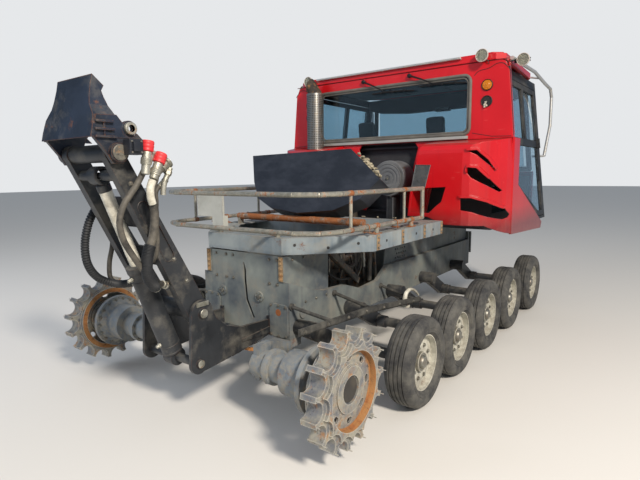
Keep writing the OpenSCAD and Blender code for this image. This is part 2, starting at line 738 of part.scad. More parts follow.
// Body of a tail pod, drawn in by d, and then longer at the bottom and the front
module pod_solid(d) {
  open = d * 9;
  front = pod_x + pod_depth + 14;
  intersection() {
    pod_plan(d);
    plate_xz(300, 1500) polygon([
      [front + open, 2039 - d], [pod_x + 80, 1990 - d], [pod_x + 30 + d / 2, 1965 - d], [pod_x + 5 + d, 1925 - d / 2],
      [pod_x + d, 1890], [pod_x + d, 1000 - open], [front + open, 1000 - open]
    ]);
    plate_yz(pod_x - 10, front + 200) scale([tail_k, 1]) polygon([
      [620 + d, 2060], [600 + d, 1955], [585 + d, 1890], [521 + d, 1562], [505 + d, 1500], [480 + d, 1262], [480 + d, 1245 - open],
      [700, 1245 - open], [888, 1173 - open], [1254, 1170 - open], [1434 - d, 1064 - open], [1440 - d, 1300], [1430 - d, 1700],
      [1402 - d, 2039], [1400 - d, 2060]
    ]);
  }
}

// Tail panel of one side: a deep pod with three slanted vents, the recess beside it, and its skirt under the door
module quarter_panel(s) {
  color(red) difference() {
    side(s) {
      difference() {
        pod_solid(0);
        pod_solid(pod_plate);
        for (v = vents) plate_yz(pod_x - 20, cab_rear_x - 4) scale([tail_k, 1]) polygon(v);
        // stepped opening low in the face
        plate_yz(pod_x - 20, pod_x + 40) scale([tail_k, 1])
          polygon([[506, 1285], [720, 1285], [797, 1360], [850, 1402], [894, 1554], [695, 1542], [535, 1532]]);
      }
      // flared lips over the vents
      intersection() {
        difference() {
          pod_plan(-pod_lip);
          pod_plan(2);
        }
        union() {
          for (v = vents) plate_yz(pod_x - 60, cab_rear_x - 40) scale([tail_k, 1]) polygon([
            v[0], v[1], v[2], v[3], v[3] + [8, 22], v[2] + [10, 26], v[1] + [0, 26], v[0] + [-16, 22]
          ]);
        }
      }
      // wall of the recess between the pods
      plate_yz(cab_rear_x - 4, cab_rear_x + 14)
        polygon([[350, 2039], [390, 1980], [225, 1330], [300, 1250], [420, 1262], [500, 1262], [560, 1560], [630, 1955], [640, 2039]]);
      // side skirt, tapering forward under the door
      plate_xz(tail_half - 24, tail_half) polygon([
        [cab_rear_x + 2, 1064], [4160, 1010], [4200, 1085], [3050, 1565], [3050, 2039], [cab_rear_x + 2, 2039]
      ]);
      // inner return of the panel, up to the door frame, and the step under the door
      plate_yz(3036, 3046)
        polygon([[side_half + 3, 2039], [tail_half - 23, 2039], [tail_half - 23, 1565], [side_half + 59, 1565]]);
      plate_xz(side_half + 45, tail_half - 23) polygon([[cab_rear_x + 211, 1088], [4080, 1088], [4080, 1108], [cab_rear_x + 211, 1108]]);
    }
    // holes of the exhaust through the left pod
    if (s > 0) {
      translate([2690, 935, 1900]) cylinder(r = 118, h = 200);
      box([2612, 400, 1200], [2768, 660, 1408]);
    }
  }
}

// Outline of a door in the side's plane, grown by d
module door_outline(d) {
  polygon([
    [door_rear_x - d, 690 + d], [door_front_x + d, 690 + d], [door_front_x + d, -870 - d], [4150, -870 - d], [door_rear_x - d, -455 - d]
  ]);
}

module door_frames() {
  color("#17181a") for (sd = sides) on_side(sd[1]) difference() {
    plate_xz(-50, -2) polygon([
      [cab_rear_x + 150, 790], [door_front_x + 70, 790], [door_front_x + 70, -910], [4140, -910], [cab_rear_x + 150, -430]
    ]);
    plate_xz(-51, -1) door_outline(8);
  }
}

// Window openings of a door, drawn in by d
module door_windows(d) {
  polygon([[door_rear_x + 60 + d, 60 + d], [3800 - d, 60 + d], [3800 - d, 630 - d], [door_rear_x + 60 + d, 630 - d]]);
  polygon([[3870 + d, 60 + d], [door_front_x - 60 - d, 60 + d], [door_front_x - 60 - d, 630 - d], [3870 + d, 630 - d]]);
  polygon([
    [door_rear_x + 60 + d, -20 - d], [door_front_x - 60 - d, -20 - d], [door_front_x - 60 - d, -810 + d], [4170 + d, -810 + d],
    [door_rear_x + 60 + d, -410 + d]
  ]);
}

// A door with its black frame, in the plane of the cab's side
module door(s) {
  color("#1b1c1f") on_side(s) {
    difference() {
      plate_xz(-40, 0) door_outline(0);
      plate_xz(-41, 1) door_windows(0);
    }
    box([door_front_x - 50, -0.5, -30], [door_front_x - 14, 28, 90]);
  }
}

module door_glass(s) {
  color("#a8c0cc") on_side(s) plate_xz(-24, -18) door_windows(1);
}

module cab_nose() {
  color(red) {
    difference() {
      translate([0, 0, 1060]) linear_extrude(nose_top - 1060) nose_plan(0);
      translate([0, 0, 1059]) linear_extrude(nose_top - 1079) nose_plan(14);
      // lamp openings
      for (s = [-1, 1]) translate([nose_x - 200, s * 640, 1380]) rotate([0, 90, 0]) cylinder(r = 85, h = 260);
    }
  }
}

module nose_plan(d) {
  polygon([
    [4562, d - nose_half], [4640 - d, 5 - nose_half + d], [nose_x - 100 - d, 170 - nose_half + d], [nose_x - 20 - d, 570 - nose_half],
    [nose_x - d, 0], [nose_x - 20 - d, nose_half - 570], [nose_x - 100 - d, nose_half - 170 - d], [4640 - d, nose_half - 5 - d],
    [4562, nose_half - d]
  ]);
}

module screen_frame() {
  color("#17181a") {
    for (s = [-1, 1]) side(s)
      pipe([[screen_top_x, screen_half - 75, 2782], [screen_x, screen_half, screen_z], [screen_mid_x, 0, screen_z]], screen_r);
    translate([screen_mid_x, 0, screen_z]) sphere(r = screen_r + knuckle);
  }
}

module windscreen() {
  color("#a8c0cc") for (s = [-1, 1]) side(s) {
    hull() {
      for (p = [[screen_x + 9, screen_half - 70, screen_z + screen_r + 1.5], [screen_mid_x - 4, 0.2, screen_z + screen_r + 1.5],
                [4617, 0.2, 2814.6], [4444, screen_half - 150, 2814.6]]) translate(p) cube([6, 1, 1]);
    }
  }
}

module seats() {
  color("#3b3d42") for (y = [520, -420]) {
    box([3300, y - 230, 1500], [3760, y + 230, 1600]);
    translate([3290, 0, 1560]) rotate([0, -8, 0]) box([0, y - 210, 0], [90, y + 210, 560]);
    translate([3225, 0, 2140]) rotate([0, -8, 0]) box([0, y - 110, 0], [70, y + 110, 210]);
    box([3400, y - 150, hull_top + 30], [3660, y + 150, 1501]);
    for (sy = [-1, 1]) bar([3245, y + sy * 60, 2100], [3240, y + sy * 60, 2160], 8);
  }
}

module console() {
  color("#26282b") {
    box([4250, -1000, 1500], [4539, 1000, 1640]);
    box([4300, -120, hull_top + 30], [4500, 120, 1501]);
    bar([4260, 520, 1600], [4060, 520, 1800], 18);
    translate([4060, 520, 1800]) rotate([0, -40, 0]) difference() {
      cylinder(r = 170, h = 24);
      translate([0, 0, -1]) cylinder(r = 148, h = 26);
    }
    translate([4060, 520, 1800]) rotate([0, -40, 0]) box([-12, -150, 4], [12, 150, 20]);
    box([4000, 180, hull_top + 30], [4180, 300, 1700]);
  }
}

module rear_wipers() {
  color("#141416") for (w = [[600, 2735, 190], [100, 2745, 560]]) {
    y = w[0];
    translate([cab_rear_x - 60, y, w[1]]) rotate([0, 90, 0]) cylinder(r = 22, h = 60);
    bar([cab_rear_x - 50, y, w[1]], [cab_rear_x - 40, y - 330, w[1] - 90], 8);
    bar([cab_rear_x - 40, y - 100, w[1] - 88], [cab_rear_x - 40, y - 560, w[1] - 92], 9);
  }
}

module grab_tubes() {
  color("#b9bcbe") {
    for (sd = sides) side(sd[1]) {
      y = side_half + 22;
      pipe([[3040, y, 2850], [3950, y + 10, 2850], [4400, y + 28, 2780], [4720, y + 28, 2755],
            [4810, y + 28, 2660], [4810, y + 28, 2300], [4620, y + 13, 1900]], 19);
      bar([4620, y + 13, 1900], [4590, nose_half - 22, 1895], 14);
      bar([4200, y + 20, 2812], [4205, roof_half - 74, 2838], 11);
      bar([3064, y, 2850], [3064, roof_half - 3, 2850], 22);
    }
    // thin rod along the roof's rear edge
    bar([cab_rear_x - 36, -860, 2872], [cab_rear_x - 36, 1000, 2872], 12);
    for (y = [-860, 70, 1000]) bar([cab_rear_x - 36, y, 2872], [cab_rear_x - 12, y, 2866], 8);
  }
}

module work_lamps() {
  color("#c9c9c3") for (s = [-1, 1]) {
    // on the roof's corner
    y = s * (roof_half - 200);
    translate([cab_rear_x - 90, y, 2856]) rotate([0, 90, 0]) cylinder(r = 62, h = 60);
    box([cab_rear_x - 40, y - 20, 2836], [cab_rear_x - 10.3, y + 20, 2870]);
    // on a bracket beside the roof
    translate([3060, s * (side_half + 120), 2825]) rotate([0, 90, 0]) cylinder(r = 62, h = 60);
    bar([3090, s * (side_half + 80), 2830], [3090, s * (side_half + 45), 2834], 14);
  }
}

module signal_lamps() {
  color("#d27a12") for (s = [-1, 1]) translate([cab_rear_x - 24, s * lamp_y, 2576]) rotate([0, 90, 0]) cylinder(r = 46, h = 24);
}

// Teeth drawn flat: round valleys of one radius, cut down to a root between the tips
module sprocket_ring(root, valley) {
  difference() {
    circle(r = sprocket_tip_r, $fn = 90);
    for (i = [0 : sprocket_teeth - 1]) rotate((i + 0.5) * 360 / sprocket_teeth) translate([root + valley, 0]) circle(r = valley);
    circle(r = drum_r);
  }
}

module sprocket(s) {
  in_y = sprocket_face_y - sprocket_width;
  disc_y = sprocket_face_y - disc_depth;
  color("#7a7f86") side(s) translate([0, 0, sprocket_z]) {
    // broad scooped lugs, and the outer ring whose teeth run out to narrow spikes
    plate_xz(in_y + tooth_inset, sprocket_face_y - 24) sprocket_ring(sprocket_root_r + 22, 58);
    plate_xz(sprocket_face_y - 25, sprocket_face_y) sprocket_ring(sprocket_root_r - 10, 75);
    // drum, disc with its holes, and hub
    difference() {
      union() {
        tube_y(0, 0, drum_r + 12, in_y, sprocket_face_y);
        tube_y(0, 0, drum_r + 36, in_y, in_y + tooth_inset + 1);
      }
      tube_y(0, 0, drum_r - 8, in_y - 1, disc_y - 16);
      tube_y(0, 0, drum_r, disc_y, sprocket_face_y + 1);
      for (i = [0 : sprocket_holes - 1]) rotate([0, i * 360 / sprocket_holes, 0])
        plate_xz(in_y, sprocket_face_y + 5) translate([192, 0]) rrect(36, 54, 17.9);
      tube_y(0, 0, hub_bore_r, in_y, sprocket_face_y + 5);
    }
    difference() {
      union() {
        tube_y(0, 0, 140, in_y + 40, sprocket_face_y - 31);
        tube_y(0, 0, 152, disc_y - 40, disc_y + 3);
      }
      tube_y(0, 0, hub_bore_r, in_y, sprocket_face_y + 5);
    }
  }
}

module tyre(x, s) {
  w = tyre_w / 2;
  color("#2b2b2b") translate([x, s * tyre_mid_y, tyre_r]) rotate([90, 0, 0]) rotate_extrude($fn = 72) difference() {
    polygon([
      [rim_r, -w + 28], [rim_r + 14, -w + 14], [rim_r + 60, -w + 2], [tyre_r - 48, -w], [tyre_r - 18, -w + 14], [tyre_r - 4, -w + 34],
      [tyre_r, -w + 60], [tyre_r, w - 60], [tyre_r - 4, w - 34], [tyre_r - 18, w - 14], [tyre_r - 48, w], [rim_r + 60, w - 2],
      [rim_r + 14, w - 14], [rim_r, w - 28]
    ]);
    // grooves of the ribbed tread
    for (y = [-48, -16, 16, 48]) translate([tyre_r - 9, y - 4]) square([20, 8]);
  }
}

module rim(x, s) {
  w = tyre_w / 2;
  color("#a6a69c") translate([x, s * tyre_mid_y, tyre_r]) rotate([-s * 90, 0, 0]) {
    rotate_extrude($fn = 72) union() {
      polygon([[rim_r - 8, -w + 28], [rim_r - 0.2, -w + 28], [rim_r - 0.2, w - 28], [rim_r - 8, w - 28]]);
      polygon([[70, 14], [70, 26], [120, 40], [170, 26], [rim_r - 7, 26], [rim_r - 7, 14], [172, 14], [120, 28]]);
    }
    difference() {
      translate([0, 0, -60]) cylinder(r = 72, h = 112);
      translate([0, 0, -61]) cylinder(r = stub_r + wheel_gap, h = 106);
    }
  }
}

translate([shift_x, 0, 0]) {
  hull_body();
  engine_block();
  deck_frame();
  deck_rail();
  deck_box();
  engine_hood();
  air_cleaner();
  exhaust_stack();
  final_drives();
  wheel_arms();
  mud_strips();
  rear_bracket();
  front_carrier();
  cab_tub();
  cab_rear_wall();
  rear_glass();
  cab_roof();
  door_frames();
  cab_nose();
  screen_frame();
  windscreen();
  seats();
  console();
  rear_wipers();
  grab_tubes();
  work_lamps();
  signal_lamps();
  lift_arm();
  lift_head();
  lift_barrel();
  lift_rod();
  arm_hoses();
  for (sd = sides) {
    quarter_panel(sd[1]);
    door(sd[1]);
    door_glass(sd[1]);
    sprocket(sd[1]);
    for (i = [0 : len(wheel_x) - 1]) {
      tyre(wheel_x[i], sd[1]);
      rim(wheel_x[i], sd[1]);
    }
  }
}
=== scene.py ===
# %% [markdown]
# A snow groomer stands parked, stripped of its tracks and tools. This notebook dresses its packed
# CAD model: every solid comes in at its real place and size, gets a finish, and where the solid is
# plainer than the real piece, a finer mesh stands in for it. All lengths are in metres, +X is
# forward, +Y is the machine's left and +Z is up.

# %% Load the frame
import math
import random

import bmesh
import bpy
from mathutils import Matrix, Vector


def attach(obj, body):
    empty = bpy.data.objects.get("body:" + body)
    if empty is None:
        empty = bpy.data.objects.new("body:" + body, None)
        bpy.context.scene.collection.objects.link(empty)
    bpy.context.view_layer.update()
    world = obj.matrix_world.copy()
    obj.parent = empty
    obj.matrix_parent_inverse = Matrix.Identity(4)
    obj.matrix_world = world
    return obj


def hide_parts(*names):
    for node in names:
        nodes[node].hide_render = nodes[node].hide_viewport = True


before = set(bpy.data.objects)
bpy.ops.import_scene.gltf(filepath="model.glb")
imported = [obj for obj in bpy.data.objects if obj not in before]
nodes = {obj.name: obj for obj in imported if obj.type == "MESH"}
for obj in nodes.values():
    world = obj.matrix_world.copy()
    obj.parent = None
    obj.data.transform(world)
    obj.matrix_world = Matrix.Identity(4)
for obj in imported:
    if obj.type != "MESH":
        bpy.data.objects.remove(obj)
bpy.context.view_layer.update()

# %% [markdown]
# Stations along the machine are easier to read when they are counted from the sprocket axle, as on
# a workshop drawing. One shift turns them into the row's frame, and one helper places any point.

# %% Stations
X, Y, Z = Vector((1, 0, 0)), Vector((0, 1, 0)), Vector((0, 0, 1))
SHIFT = -2.0075
SIDES = (("left", 1), ("right", -1))


def at(x, y, z):
    """A point given by its station from the sprocket axle, in metres."""
    return Vector((x + SHIFT, y, z))


# %% [markdown]
# The camera stands behind the machine's right-hand corner at eye height, as the photographer did.
# Its place, heading and focal length were solved from the wheels, the window and the sprocket.

# %% Camera
CAMERA_PLACE = at(-2.246, -2.782, 1.694)
HEADING = 0.6388  # radians from +X towards +Y
PITCH = -0.1353
ROLL = -0.0111
FOCAL_PIXELS, PICTURE_WIDE = 482.4, 640
SENSOR_MM = 36.0


def make_camera():
    data = bpy.data.cameras.new("camera")
    data.sensor_width = SENSOR_MM
    data.lens = FOCAL_PIXELS / PICTURE_WIDE * SENSOR_MM
    data.clip_end = 200.0
    cam = bpy.data.objects.new("camera", data)
    bpy.context.scene.collection.objects.link(cam)
    level = math.cos(PITCH)
    ahead = Vector((level * math.cos(HEADING), level * math.sin(HEADING), math.sin(PITCH)))
    right = Vector((math.sin(HEADING), -math.cos(HEADING), 0))
    up = right.cross(ahead)
    rolled_right = right * math.cos(ROLL) + up * math.sin(ROLL)
    rolled_up = up * math.cos(ROLL) - right * math.sin(ROLL)
    turn = Matrix((rolled_right, rolled_up, -ahead)).transposed()
    cam.matrix_world = Matrix.Translation(CAMERA_PLACE) @ turn.to_4x4()
    bpy.context.scene.camera = cam
    return cam


camera = make_camera()
print("camera at", [round(v, 2) for v in camera.location])

# %% [markdown]
# Seeded randomness keeps every run the same: scuffs on the tread, bolt angles, loose wires and torn
# foam all draw from here.

# %% Seed
rng = random.Random(7)

# %% [markdown]
# Colours are written as sRGB hex values, the way a colour picker shows them, and one function turns
# them into the linear values that Blender's shaders work with.

# %% Colour and node helpers
def linear(code):
    """An sRGB hex colour as a linear RGBA tuple."""
    parts = [int(code[i : i + 2], 16) / 255 for i in (1, 3, 5)]
    return tuple(c / 12.92 if c <= 0.04045 else ((c + 0.055) / 1.055) ** 2.4 for c in parts) + (1.0,)


def give(tree, node, **inputs):
    """Fills a node's inputs, by name or as i0, i1, ..., with values or other nodes' outputs."""
    for key, value in inputs.items():
        counted = key[0] == "i" and key[1:].isdigit()
        socket = node.inputs[int(key[1:]) if counted else key.replace("_", " ")]
        if isinstance(value, bpy.types.NodeSocket):
            tree.links.new(value, socket)
        else:
            socket.default_value = value


def add(tree, kind, settings=None, **inputs):
    """Adds a shader node and fills its inputs."""
    made = tree.nodes.new("ShaderNode" + kind)
    for key, value in (settings or {}).items():
        setattr(made, key, value)
    give(tree, made, **inputs)
    return made


def ramp(tree, factor, *stops):
    """A colour ramp through (position, grey) stops."""
    made = add(tree, "ValToRGB", Fac=factor)
    for element, (spot, grey) in zip(made.color_ramp.elements, stops):
        element.position = spot
        element.color = (grey, grey, grey, 1)
    return made.outputs["Color"]


def mix(tree, factor, a, b):
    """Mixes two colours, each a hex code or a socket."""
    a = linear(a) if isinstance(a, str) else a
    b = linear(b) if isinstance(b, str) else b
    return add(tree, "Mix", dict(data_type="RGBA"), i0=factor, i6=a, i7=b).outputs[2]


def calc(tree, work, a, b, clamp=False):
    return add(tree, "Math", dict(operation=work, use_clamp=clamp), i0=a, i1=b).outputs[0]


def remap(tree, value, low, high, first=0.0, last=1.0):
    """Maps first to last onto low to high, clamped."""
    return add(tree, "MapRange", i0=value, i1=first, i2=last, i3=low, i4=high).outputs[0]


def noise(tree, place, size_mm, detail=3.0, rough=0.55, stretch=None):
    """Fractal noise whose largest blotches are about size_mm across."""
    if stretch:
        place = add(tree, "Mapping", Vector=place, Scale=stretch).outputs[0]
    made = add(tree, "TexNoise", Vector=place, Scale=1000.0 / size_mm, Detail=detail, Roughness=rough)
    return made.outputs["Fac"]


def patches(tree, place, first, last, most, *texture):
    """Noise cut into patches: nothing below first, most above last."""
    return ramp(tree, noise(tree, place, *texture), (first, 0.0), (last, most))


def start(name):
    """A new material's nodes, its surface shader and its place on the model, in metres."""
    mat = bpy.data.materials.new(name)
    mat.use_nodes = True
    tree = mat.node_tree
    return mat, tree, tree.nodes["Principled BSDF"], add(tree, "TexCoord").outputs["Object"]


def bump(tree, shader, relief, depth_mm, strength=1.0, round_mm=0.0):
    """Relief from a height, over edges that are rounded by round_mm in the shading alone."""
    made = add(tree, "Bump", Height=relief, Distance=depth_mm / 1000, Strength=strength)
    if round_mm:
        give(tree, made, Normal=add(tree, "Bevel", dict(samples=4), Radius=round_mm / 1000).outputs[0])
    give(tree, shader, Normal=made.outputs[0])


def edges(tree, radius_mm, low=0.05, high=0.35):
    """1 where the surface turns sharply within radius_mm, which is where paint wears off first."""
    soft = add(tree, "Bevel", dict(samples=4), Radius=radius_mm / 1000).outputs[0]
    hard = add(tree, "NewGeometry").outputs["Normal"]
    dot = add(tree, "VectorMath", dict(operation="DOT_PRODUCT"), i0=soft, i1=hard).outputs["Value"]
    return remap(tree, calc(tree, "SUBTRACT", 1.0, dot), 0.0, 1.0, low, high)


def upward(tree, vector):
    """The Z part of a place or of a normal."""
    return add(tree, "SeparateXYZ", Vector=vector).outputs["Z"]


def facing_up(tree, low, high, first, last):
    normal = add(tree, "NewGeometry").outputs["Normal"]
    return remap(tree, upward(tree, normal), low, high, first, last)


# %% [markdown]
# Weathered enamel is on most of this machine: hull, deck, arm and drives differ in colour and in how
# much has chipped, rusted and caught dirt. One function lays the same story over each colour: paint
# that has faded in blotches and streaks, chips along its edges with rust in them, dust on what faces
# up, and dried mud that thickens towards the ground.

# %% Weathered enamel
RUST_DARK, RUST_LIGHT, DUST = "#3f241a", "#8a5530", "#8b867a"
MUD_FADE = 0.45  # metres over which splashed mud thins out upwards


def weathered(name, colour, faded, chip=0.45, rust=0.35, dust=0.35, gloss=0.45, mud_top=None, edge_mm=5):
    mat, tree, shader, place = start(name)
    fine = noise(tree, place, 28, 5, 0.65)
    tone = mix(tree, patches(tree, place, 0.35, 0.68, 1.0, 420, 4, 0.6), colour, faded)
    tone = mix(tree, patches(tree, place, 0.52, 0.75, 0.45, 60, 3, 0.5, (1.0, 1.0, 0.12)), tone, faded)
    # bare and rusty edges
    chips = ramp(tree, fine, (0.62 - chip * 0.4, 0.0), (0.75 - chip * 0.3, 1.0))
    edge = calc(tree, "MULTIPLY", edges(tree, edge_mm), chips, True)
    rusty = mix(tree, noise(tree, place, 12, 4), RUST_DARK, RUST_LIGHT)
    patch = patches(tree, place, 0.74 - rust * 0.25, 0.80 - rust * 0.22, 1.0, 190, 8, 0.72)
    worn = calc(tree, "MAXIMUM", edge, patch, True)
    tone = mix(tree, worn, tone, rusty)
    # dust on what faces up, mud towards the ground
    lie = facing_up(tree, 0.0, 1.0, 0.3, 0.95)
    settle = calc(tree, "MULTIPLY", lie, patches(tree, place, 0.38, 0.62, 1.0, 90, 6, 0.7))
    cover = calc(tree, "MULTIPLY", settle, dust * 1.4, True)
    cover = calc(tree, "MAXIMUM", cover, patches(tree, place, 0.50, 0.66, dust, 230, 7, 0.68), True)
    if mud_top:
        low = remap(tree, upward(tree, place), 0.0, 1.0, mud_top, mud_top - MUD_FADE)
        splash = calc(tree, "MULTIPLY", low, patches(tree, place, 0.42, 0.6, 0.8, 45, 6, 0.7))
        cover = calc(tree, "MAXIMUM", cover, splash, True)
    matt = calc(tree, "MAXIMUM", worn, cover)
    give(tree, shader, Base_Color=mix(tree, cover, tone, DUST), Roughness=remap(tree, matt, 1 - gloss, 0.92))
    crust = calc(tree, "ADD", calc(tree, "MULTIPLY", worn, -0.6), calc(tree, "MULTIPLY", fine, 0.35))
    bump(tree, shader, crust, 0.9, 1.0, 4.0)
    return mat


hull_enamel = weathered("hull_enamel", "#4d545a", "#838983", rust=0.42, dust=0.60, mud_top=0.70)
deck_enamel = weathered("deck_enamel", "#64717a", "#939b9c", rust=0.5, dust=0.6, chip=0.7)
drive_enamel = weathered("drive_enamel", "#4f5963", "#7f878c", rust=0.62, dust=0.4, mud_top=0.9)
black_enamel = weathered("black_enamel", "#1b1d20", "#33363a", rust=0.22, gloss=0.55, chip=0.5)
head_enamel = weathered("head_enamel", "#10131b", "#252d3c", 0.85, 0.50, 0.26, 0.62, edge_mm=9)
frame_enamel = weathered("frame_enamel", "#18191b", "#2b2d30", rust=0.05, dust=0.2, gloss=0.5, chip=0.1)
rim_enamel = weathered("rim_enamel", "#a9a89c", "#c4c2b6", rust=0.5, dust=0.5, mud_top=0.7)
box_enamel = weathered("box_enamel", "#9fa19b", "#b9bab2", dust=0.4)
print("enamels", len(bpy.data.materials))

# %% [markdown]
# The cab shell is glass-fibre moulding under red gelcoat: smooth and glossy, slightly wavy, faded
# where the sun reaches it and dusty low down. Below about 1.34 m it is painted darker towards the
# bottom, as painted shade where the pods turn inward. A clear coat gives the sharp highlight.

# %% Red gelcoat
def gelcoat():
    mat, tree, shader, place = start("red_gelcoat")
    tone = mix(tree, patches(tree, place, 0.35, 0.7, 1.0, 700, 4, 0.55), "#b4050f", "#c3121a")
    tone = mix(tree, patches(tree, place, 0.56, 0.72, 0.35, 70, 4, 0.6, (1, 1, 0.06)), tone, "#900a15")
    # Painted shade: the red darkens to maroon from 1.34 m down to 1.14 m, for the shaded, inward-turned lower
    # part of the pods.
    shade = remap(tree, upward(tree, place), 0.0, 1.0, 1.34, 1.14)
    tone = mix(tree, calc(tree, "MULTIPLY", shade, 0.8), tone, "#5c0d15")
    low = remap(tree, upward(tree, place), 0.0, 1.0, 1.55, 1.0)
    dust = calc(tree, "MULTIPLY", low, patches(tree, place, 0.38, 0.75, 0.55, 120, 6, 0.65))
    tone = mix(tree, calc(tree, "MAXIMUM", dust, facing_up(tree, 0.0, 0.3, 0.6, 1.0)), tone, "#8f4a40")
    scratch = patches(tree, place, 0.70, 0.73, 0.35, 9, 2, 0.5, (1, 0.05, 0.6))
    give(tree, shader, Base_Color=mix(tree, scratch, tone, "#d8625c"), Roughness=0.34, IOR=1.5)
    give(tree, shader, Coat_Weight=0.5, Coat_Roughness=0.12)
    bump(tree, shader, noise(tree, place, 160, 2), 1.2, 0.35, 12.0)
    return mat


red_gelcoat = gelcoat()

# %% [markdown]
# The guard rail and mirror tubes are steel tube dipped in zinc. Fresh zinc has a frosty spangle of
# crystals, here drawn with Voronoi cells about 12 mm across; age adds white bloom and rust where
# tubes were bent, welded or rubbed.

# %% Galvanised tube
def galvanised(name, rust, colour):
    mat, tree, shader, place = start(name)
    cell = add(tree, "TexVoronoi", dict(feature="F1"), Vector=place, Scale=1000 / 12).outputs["Color"]
    grey = add(tree, "SeparateColor", i0=cell).outputs[0]
    tone = mix(tree, ramp(tree, grey, (0.0, 0.0), (1.0, 0.5)), colour, "#b4b4ab")
    bloom = patches(tree, place, 0.5, 0.68, 0.7, 60, 5, 0.65)
    tone = mix(tree, bloom, tone, "#a79f8f")
    spots = patches(tree, place, 0.66 - rust * 0.2, 0.72 - rust * 0.16, 1.0, 85, 8, 0.75)
    tone = mix(tree, spots, tone, mix(tree, noise(tree, place, 10, 4), "#5a2c16", "#a5683a"))
    dull = calc(tree, "MAXIMUM", spots, calc(tree, "MULTIPLY", bloom, 0.6))
    give(tree, shader, Base_Color=tone, Metallic=calc(tree, "SUBTRACT", 0.65, dull))
    give(tree, shader, Roughness=remap(tree, spots, 0.42, 0.9))
    bump(tree, shader, noise(tree, place, 7, 4), 0.5, 0.6)
    return mat


zinc_tube = galvanised("zinc_tube", 0.62, "#969284")
rusty_tube = galvanised("rusty_tube", 1.35, "#7c5a40")
mirror_tube = galvanised("polished_tube", 0.1, "#c9cacb")

# %% [markdown]
# Sprockets are cast and flame-cut steel, rubbed bare by the track's lugs and then left in the rain:
# a grey, pitted skin with tan rust in every hollow and oil stains. The teeth's edges are worn bright.

# %% Cast steel
def cast_steel(name, clean, stain, rust, rough=0.6, metal=0.55, pit_mm=9, worn=None):
    mat, tree, shader, place = start(name)
    pits = noise(tree, place, pit_mm, 6, 0.7)
    broad = noise(tree, place, 110, 6, 0.7)
    tone = mix(tree, ramp(tree, broad, (0.40, 0.0), (0.60, 1.0)), clean, stain)
    tan = patches(tree, place, 0.60 - rust * 0.22, 0.70 - rust * 0.15, 1.0, 65, 8, 0.78)
    tone = mix(tree, tan, tone, mix(tree, pits, "#6e4526", "#b98a56"))
    tone = mix(tree, patches(tree, place, 0.58, 0.66, 0.65, 38, 6, 0.7), tone, "#2e3036")
    if worn:
        tone = mix(tree, calc(tree, "MULTIPLY", edges(tree, 12, 0.03, 0.28), 0.85), tone, worn)
    bare = calc(tree, "MULTIPLY", calc(tree, "SUBTRACT", 1.0, tan), metal)
    give(tree, shader, Base_Color=tone, Metallic=bare)
    give(tree, shader, Roughness=remap(tree, pits, rough - 0.15, rough + 0.25))
    bump(tree, shader, calc(tree, "ADD", pits, calc(tree, "MULTIPLY", broad, 0.7)), 2.0, 0.8)
    return mat


sprocket_steel = cast_steel("sprocket_steel", "#7e8186", "#aaa698", 0.34, worn="#d5d1c4")
rust_scale = cast_steel("rust_scale", "#7a4a2a", "#a8683a", 1.2, 0.8, 0.1)
engine_iron = cast_steel("engine_iron", "#4c4b48", "#6f6c64", 0.35, 0.6, 0.3)
fitting_steel = cast_steel("zinc_fitting", "#b9b8ad", "#8f8d80", 0.15, 0.4, 0.7, 5)
lip_rust = cast_steel("bright_rust", "#c07436", "#d69a5c", 0.9, 0.85, 0.0)

# %% [markdown]
# Tyres here are hard solid-looking rubber, grey with dried mud. Rubber is rough, dark and has a low
# index; grit fills its grooves.

# %% Rubber
def rubber(name, colour, dusty, dust, rough=0.82):
    mat, tree, shader, place = start(name)
    tone = mix(tree, patches(tree, place, 0.36, 0.70, dust, 130, 7, 0.68), colour, dusty)
    tone = mix(tree, patches(tree, place, 0.58, 0.68, 0.35, 16, 5, 0.7), tone, "#77705f")
    give(tree, shader, Base_Color=tone, Roughness=rough, IOR=1.52)
    bump(tree, shader, noise(tree, place, 3.0, 3), 0.5, 0.6)
    return mat


tyre_rubber = rubber("tyre_rubber", "#2c2d2f", "#6c6a63", 0.75)
strip_rubber = rubber("strip_rubber", "#202122", "#6a6861", 0.8)
hose_rubber = rubber("hose_rubber", "#232221", "#6d685e", 0.9, 0.65)
seal_rubber = rubber("seal_rubber", "#55534f", "#77746c", 0.6, 0.7)
black_rubber_and_hole_shade = rubber("black_rubber_and_hole_shade", "#131415", "#2e2e2e", 0.5, 0.6)

# %% [markdown]
# Plastics: the loose engine cover is black moulded ABS, scuffed and dusty; lamp lenses are clear and
# amber polycarbonate; caps are soft red polyethylene.

# %% Plastics
def plastic(name, colour, scuffed, wear=0.5, rough=0.42, grain_mm=2.0):
    mat, tree, shader, place = start(name)
    scuff = patches(tree, place, 0.42, 0.72, wear, 150, 6, 0.7, (1, 0.5, 1))
    tone = mix(tree, scuff, colour, scuffed)
    tone = mix(tree, patches(tree, place, 0.68, 0.72, wear, 14, 3, 0.5, (0.08, 1, 1)), tone, scuffed)
    give(tree, shader, Base_Color=tone, IOR=1.5)
    give(tree, shader, Roughness=remap(tree, scuff, rough, min(rough + 0.35, 1.0)))
    bump(tree, shader, noise(tree, place, grain_mm, 2), 0.25, 0.5)
    return mat


black_abs = plastic("black_abs", "#20232a", "#464b56", 0.35, 0.38)
dark_trim_and_inlet_shade = plastic("dark_trim_and_inlet_shade", "#202225", "#3d4043", 0.4, 0.55)
grey_plastic = plastic("grey_plastic", "#8e908e", "#b3b3ae", 0.6, 0.5)
red_cap = plastic("red_cap", "#c8262e", "#e0605c", 0.4, 0.45)
wiper_plastic = plastic("wiper_plastic", "#101113", "#2b2c2e", 0.3, 0.5)
sleeve_cover = plastic("sleeve_cover", "#dedbcd", "#6f6857", 0.95, 0.5)
foam_scrap = plastic("foam_scrap", "#a39a84", "#6d6757", 0.9, 0.85, 9)
wire_plastic = plastic("wire_plastic", "#b9b3a4", "#6f6a60", 0.5, 0.5)

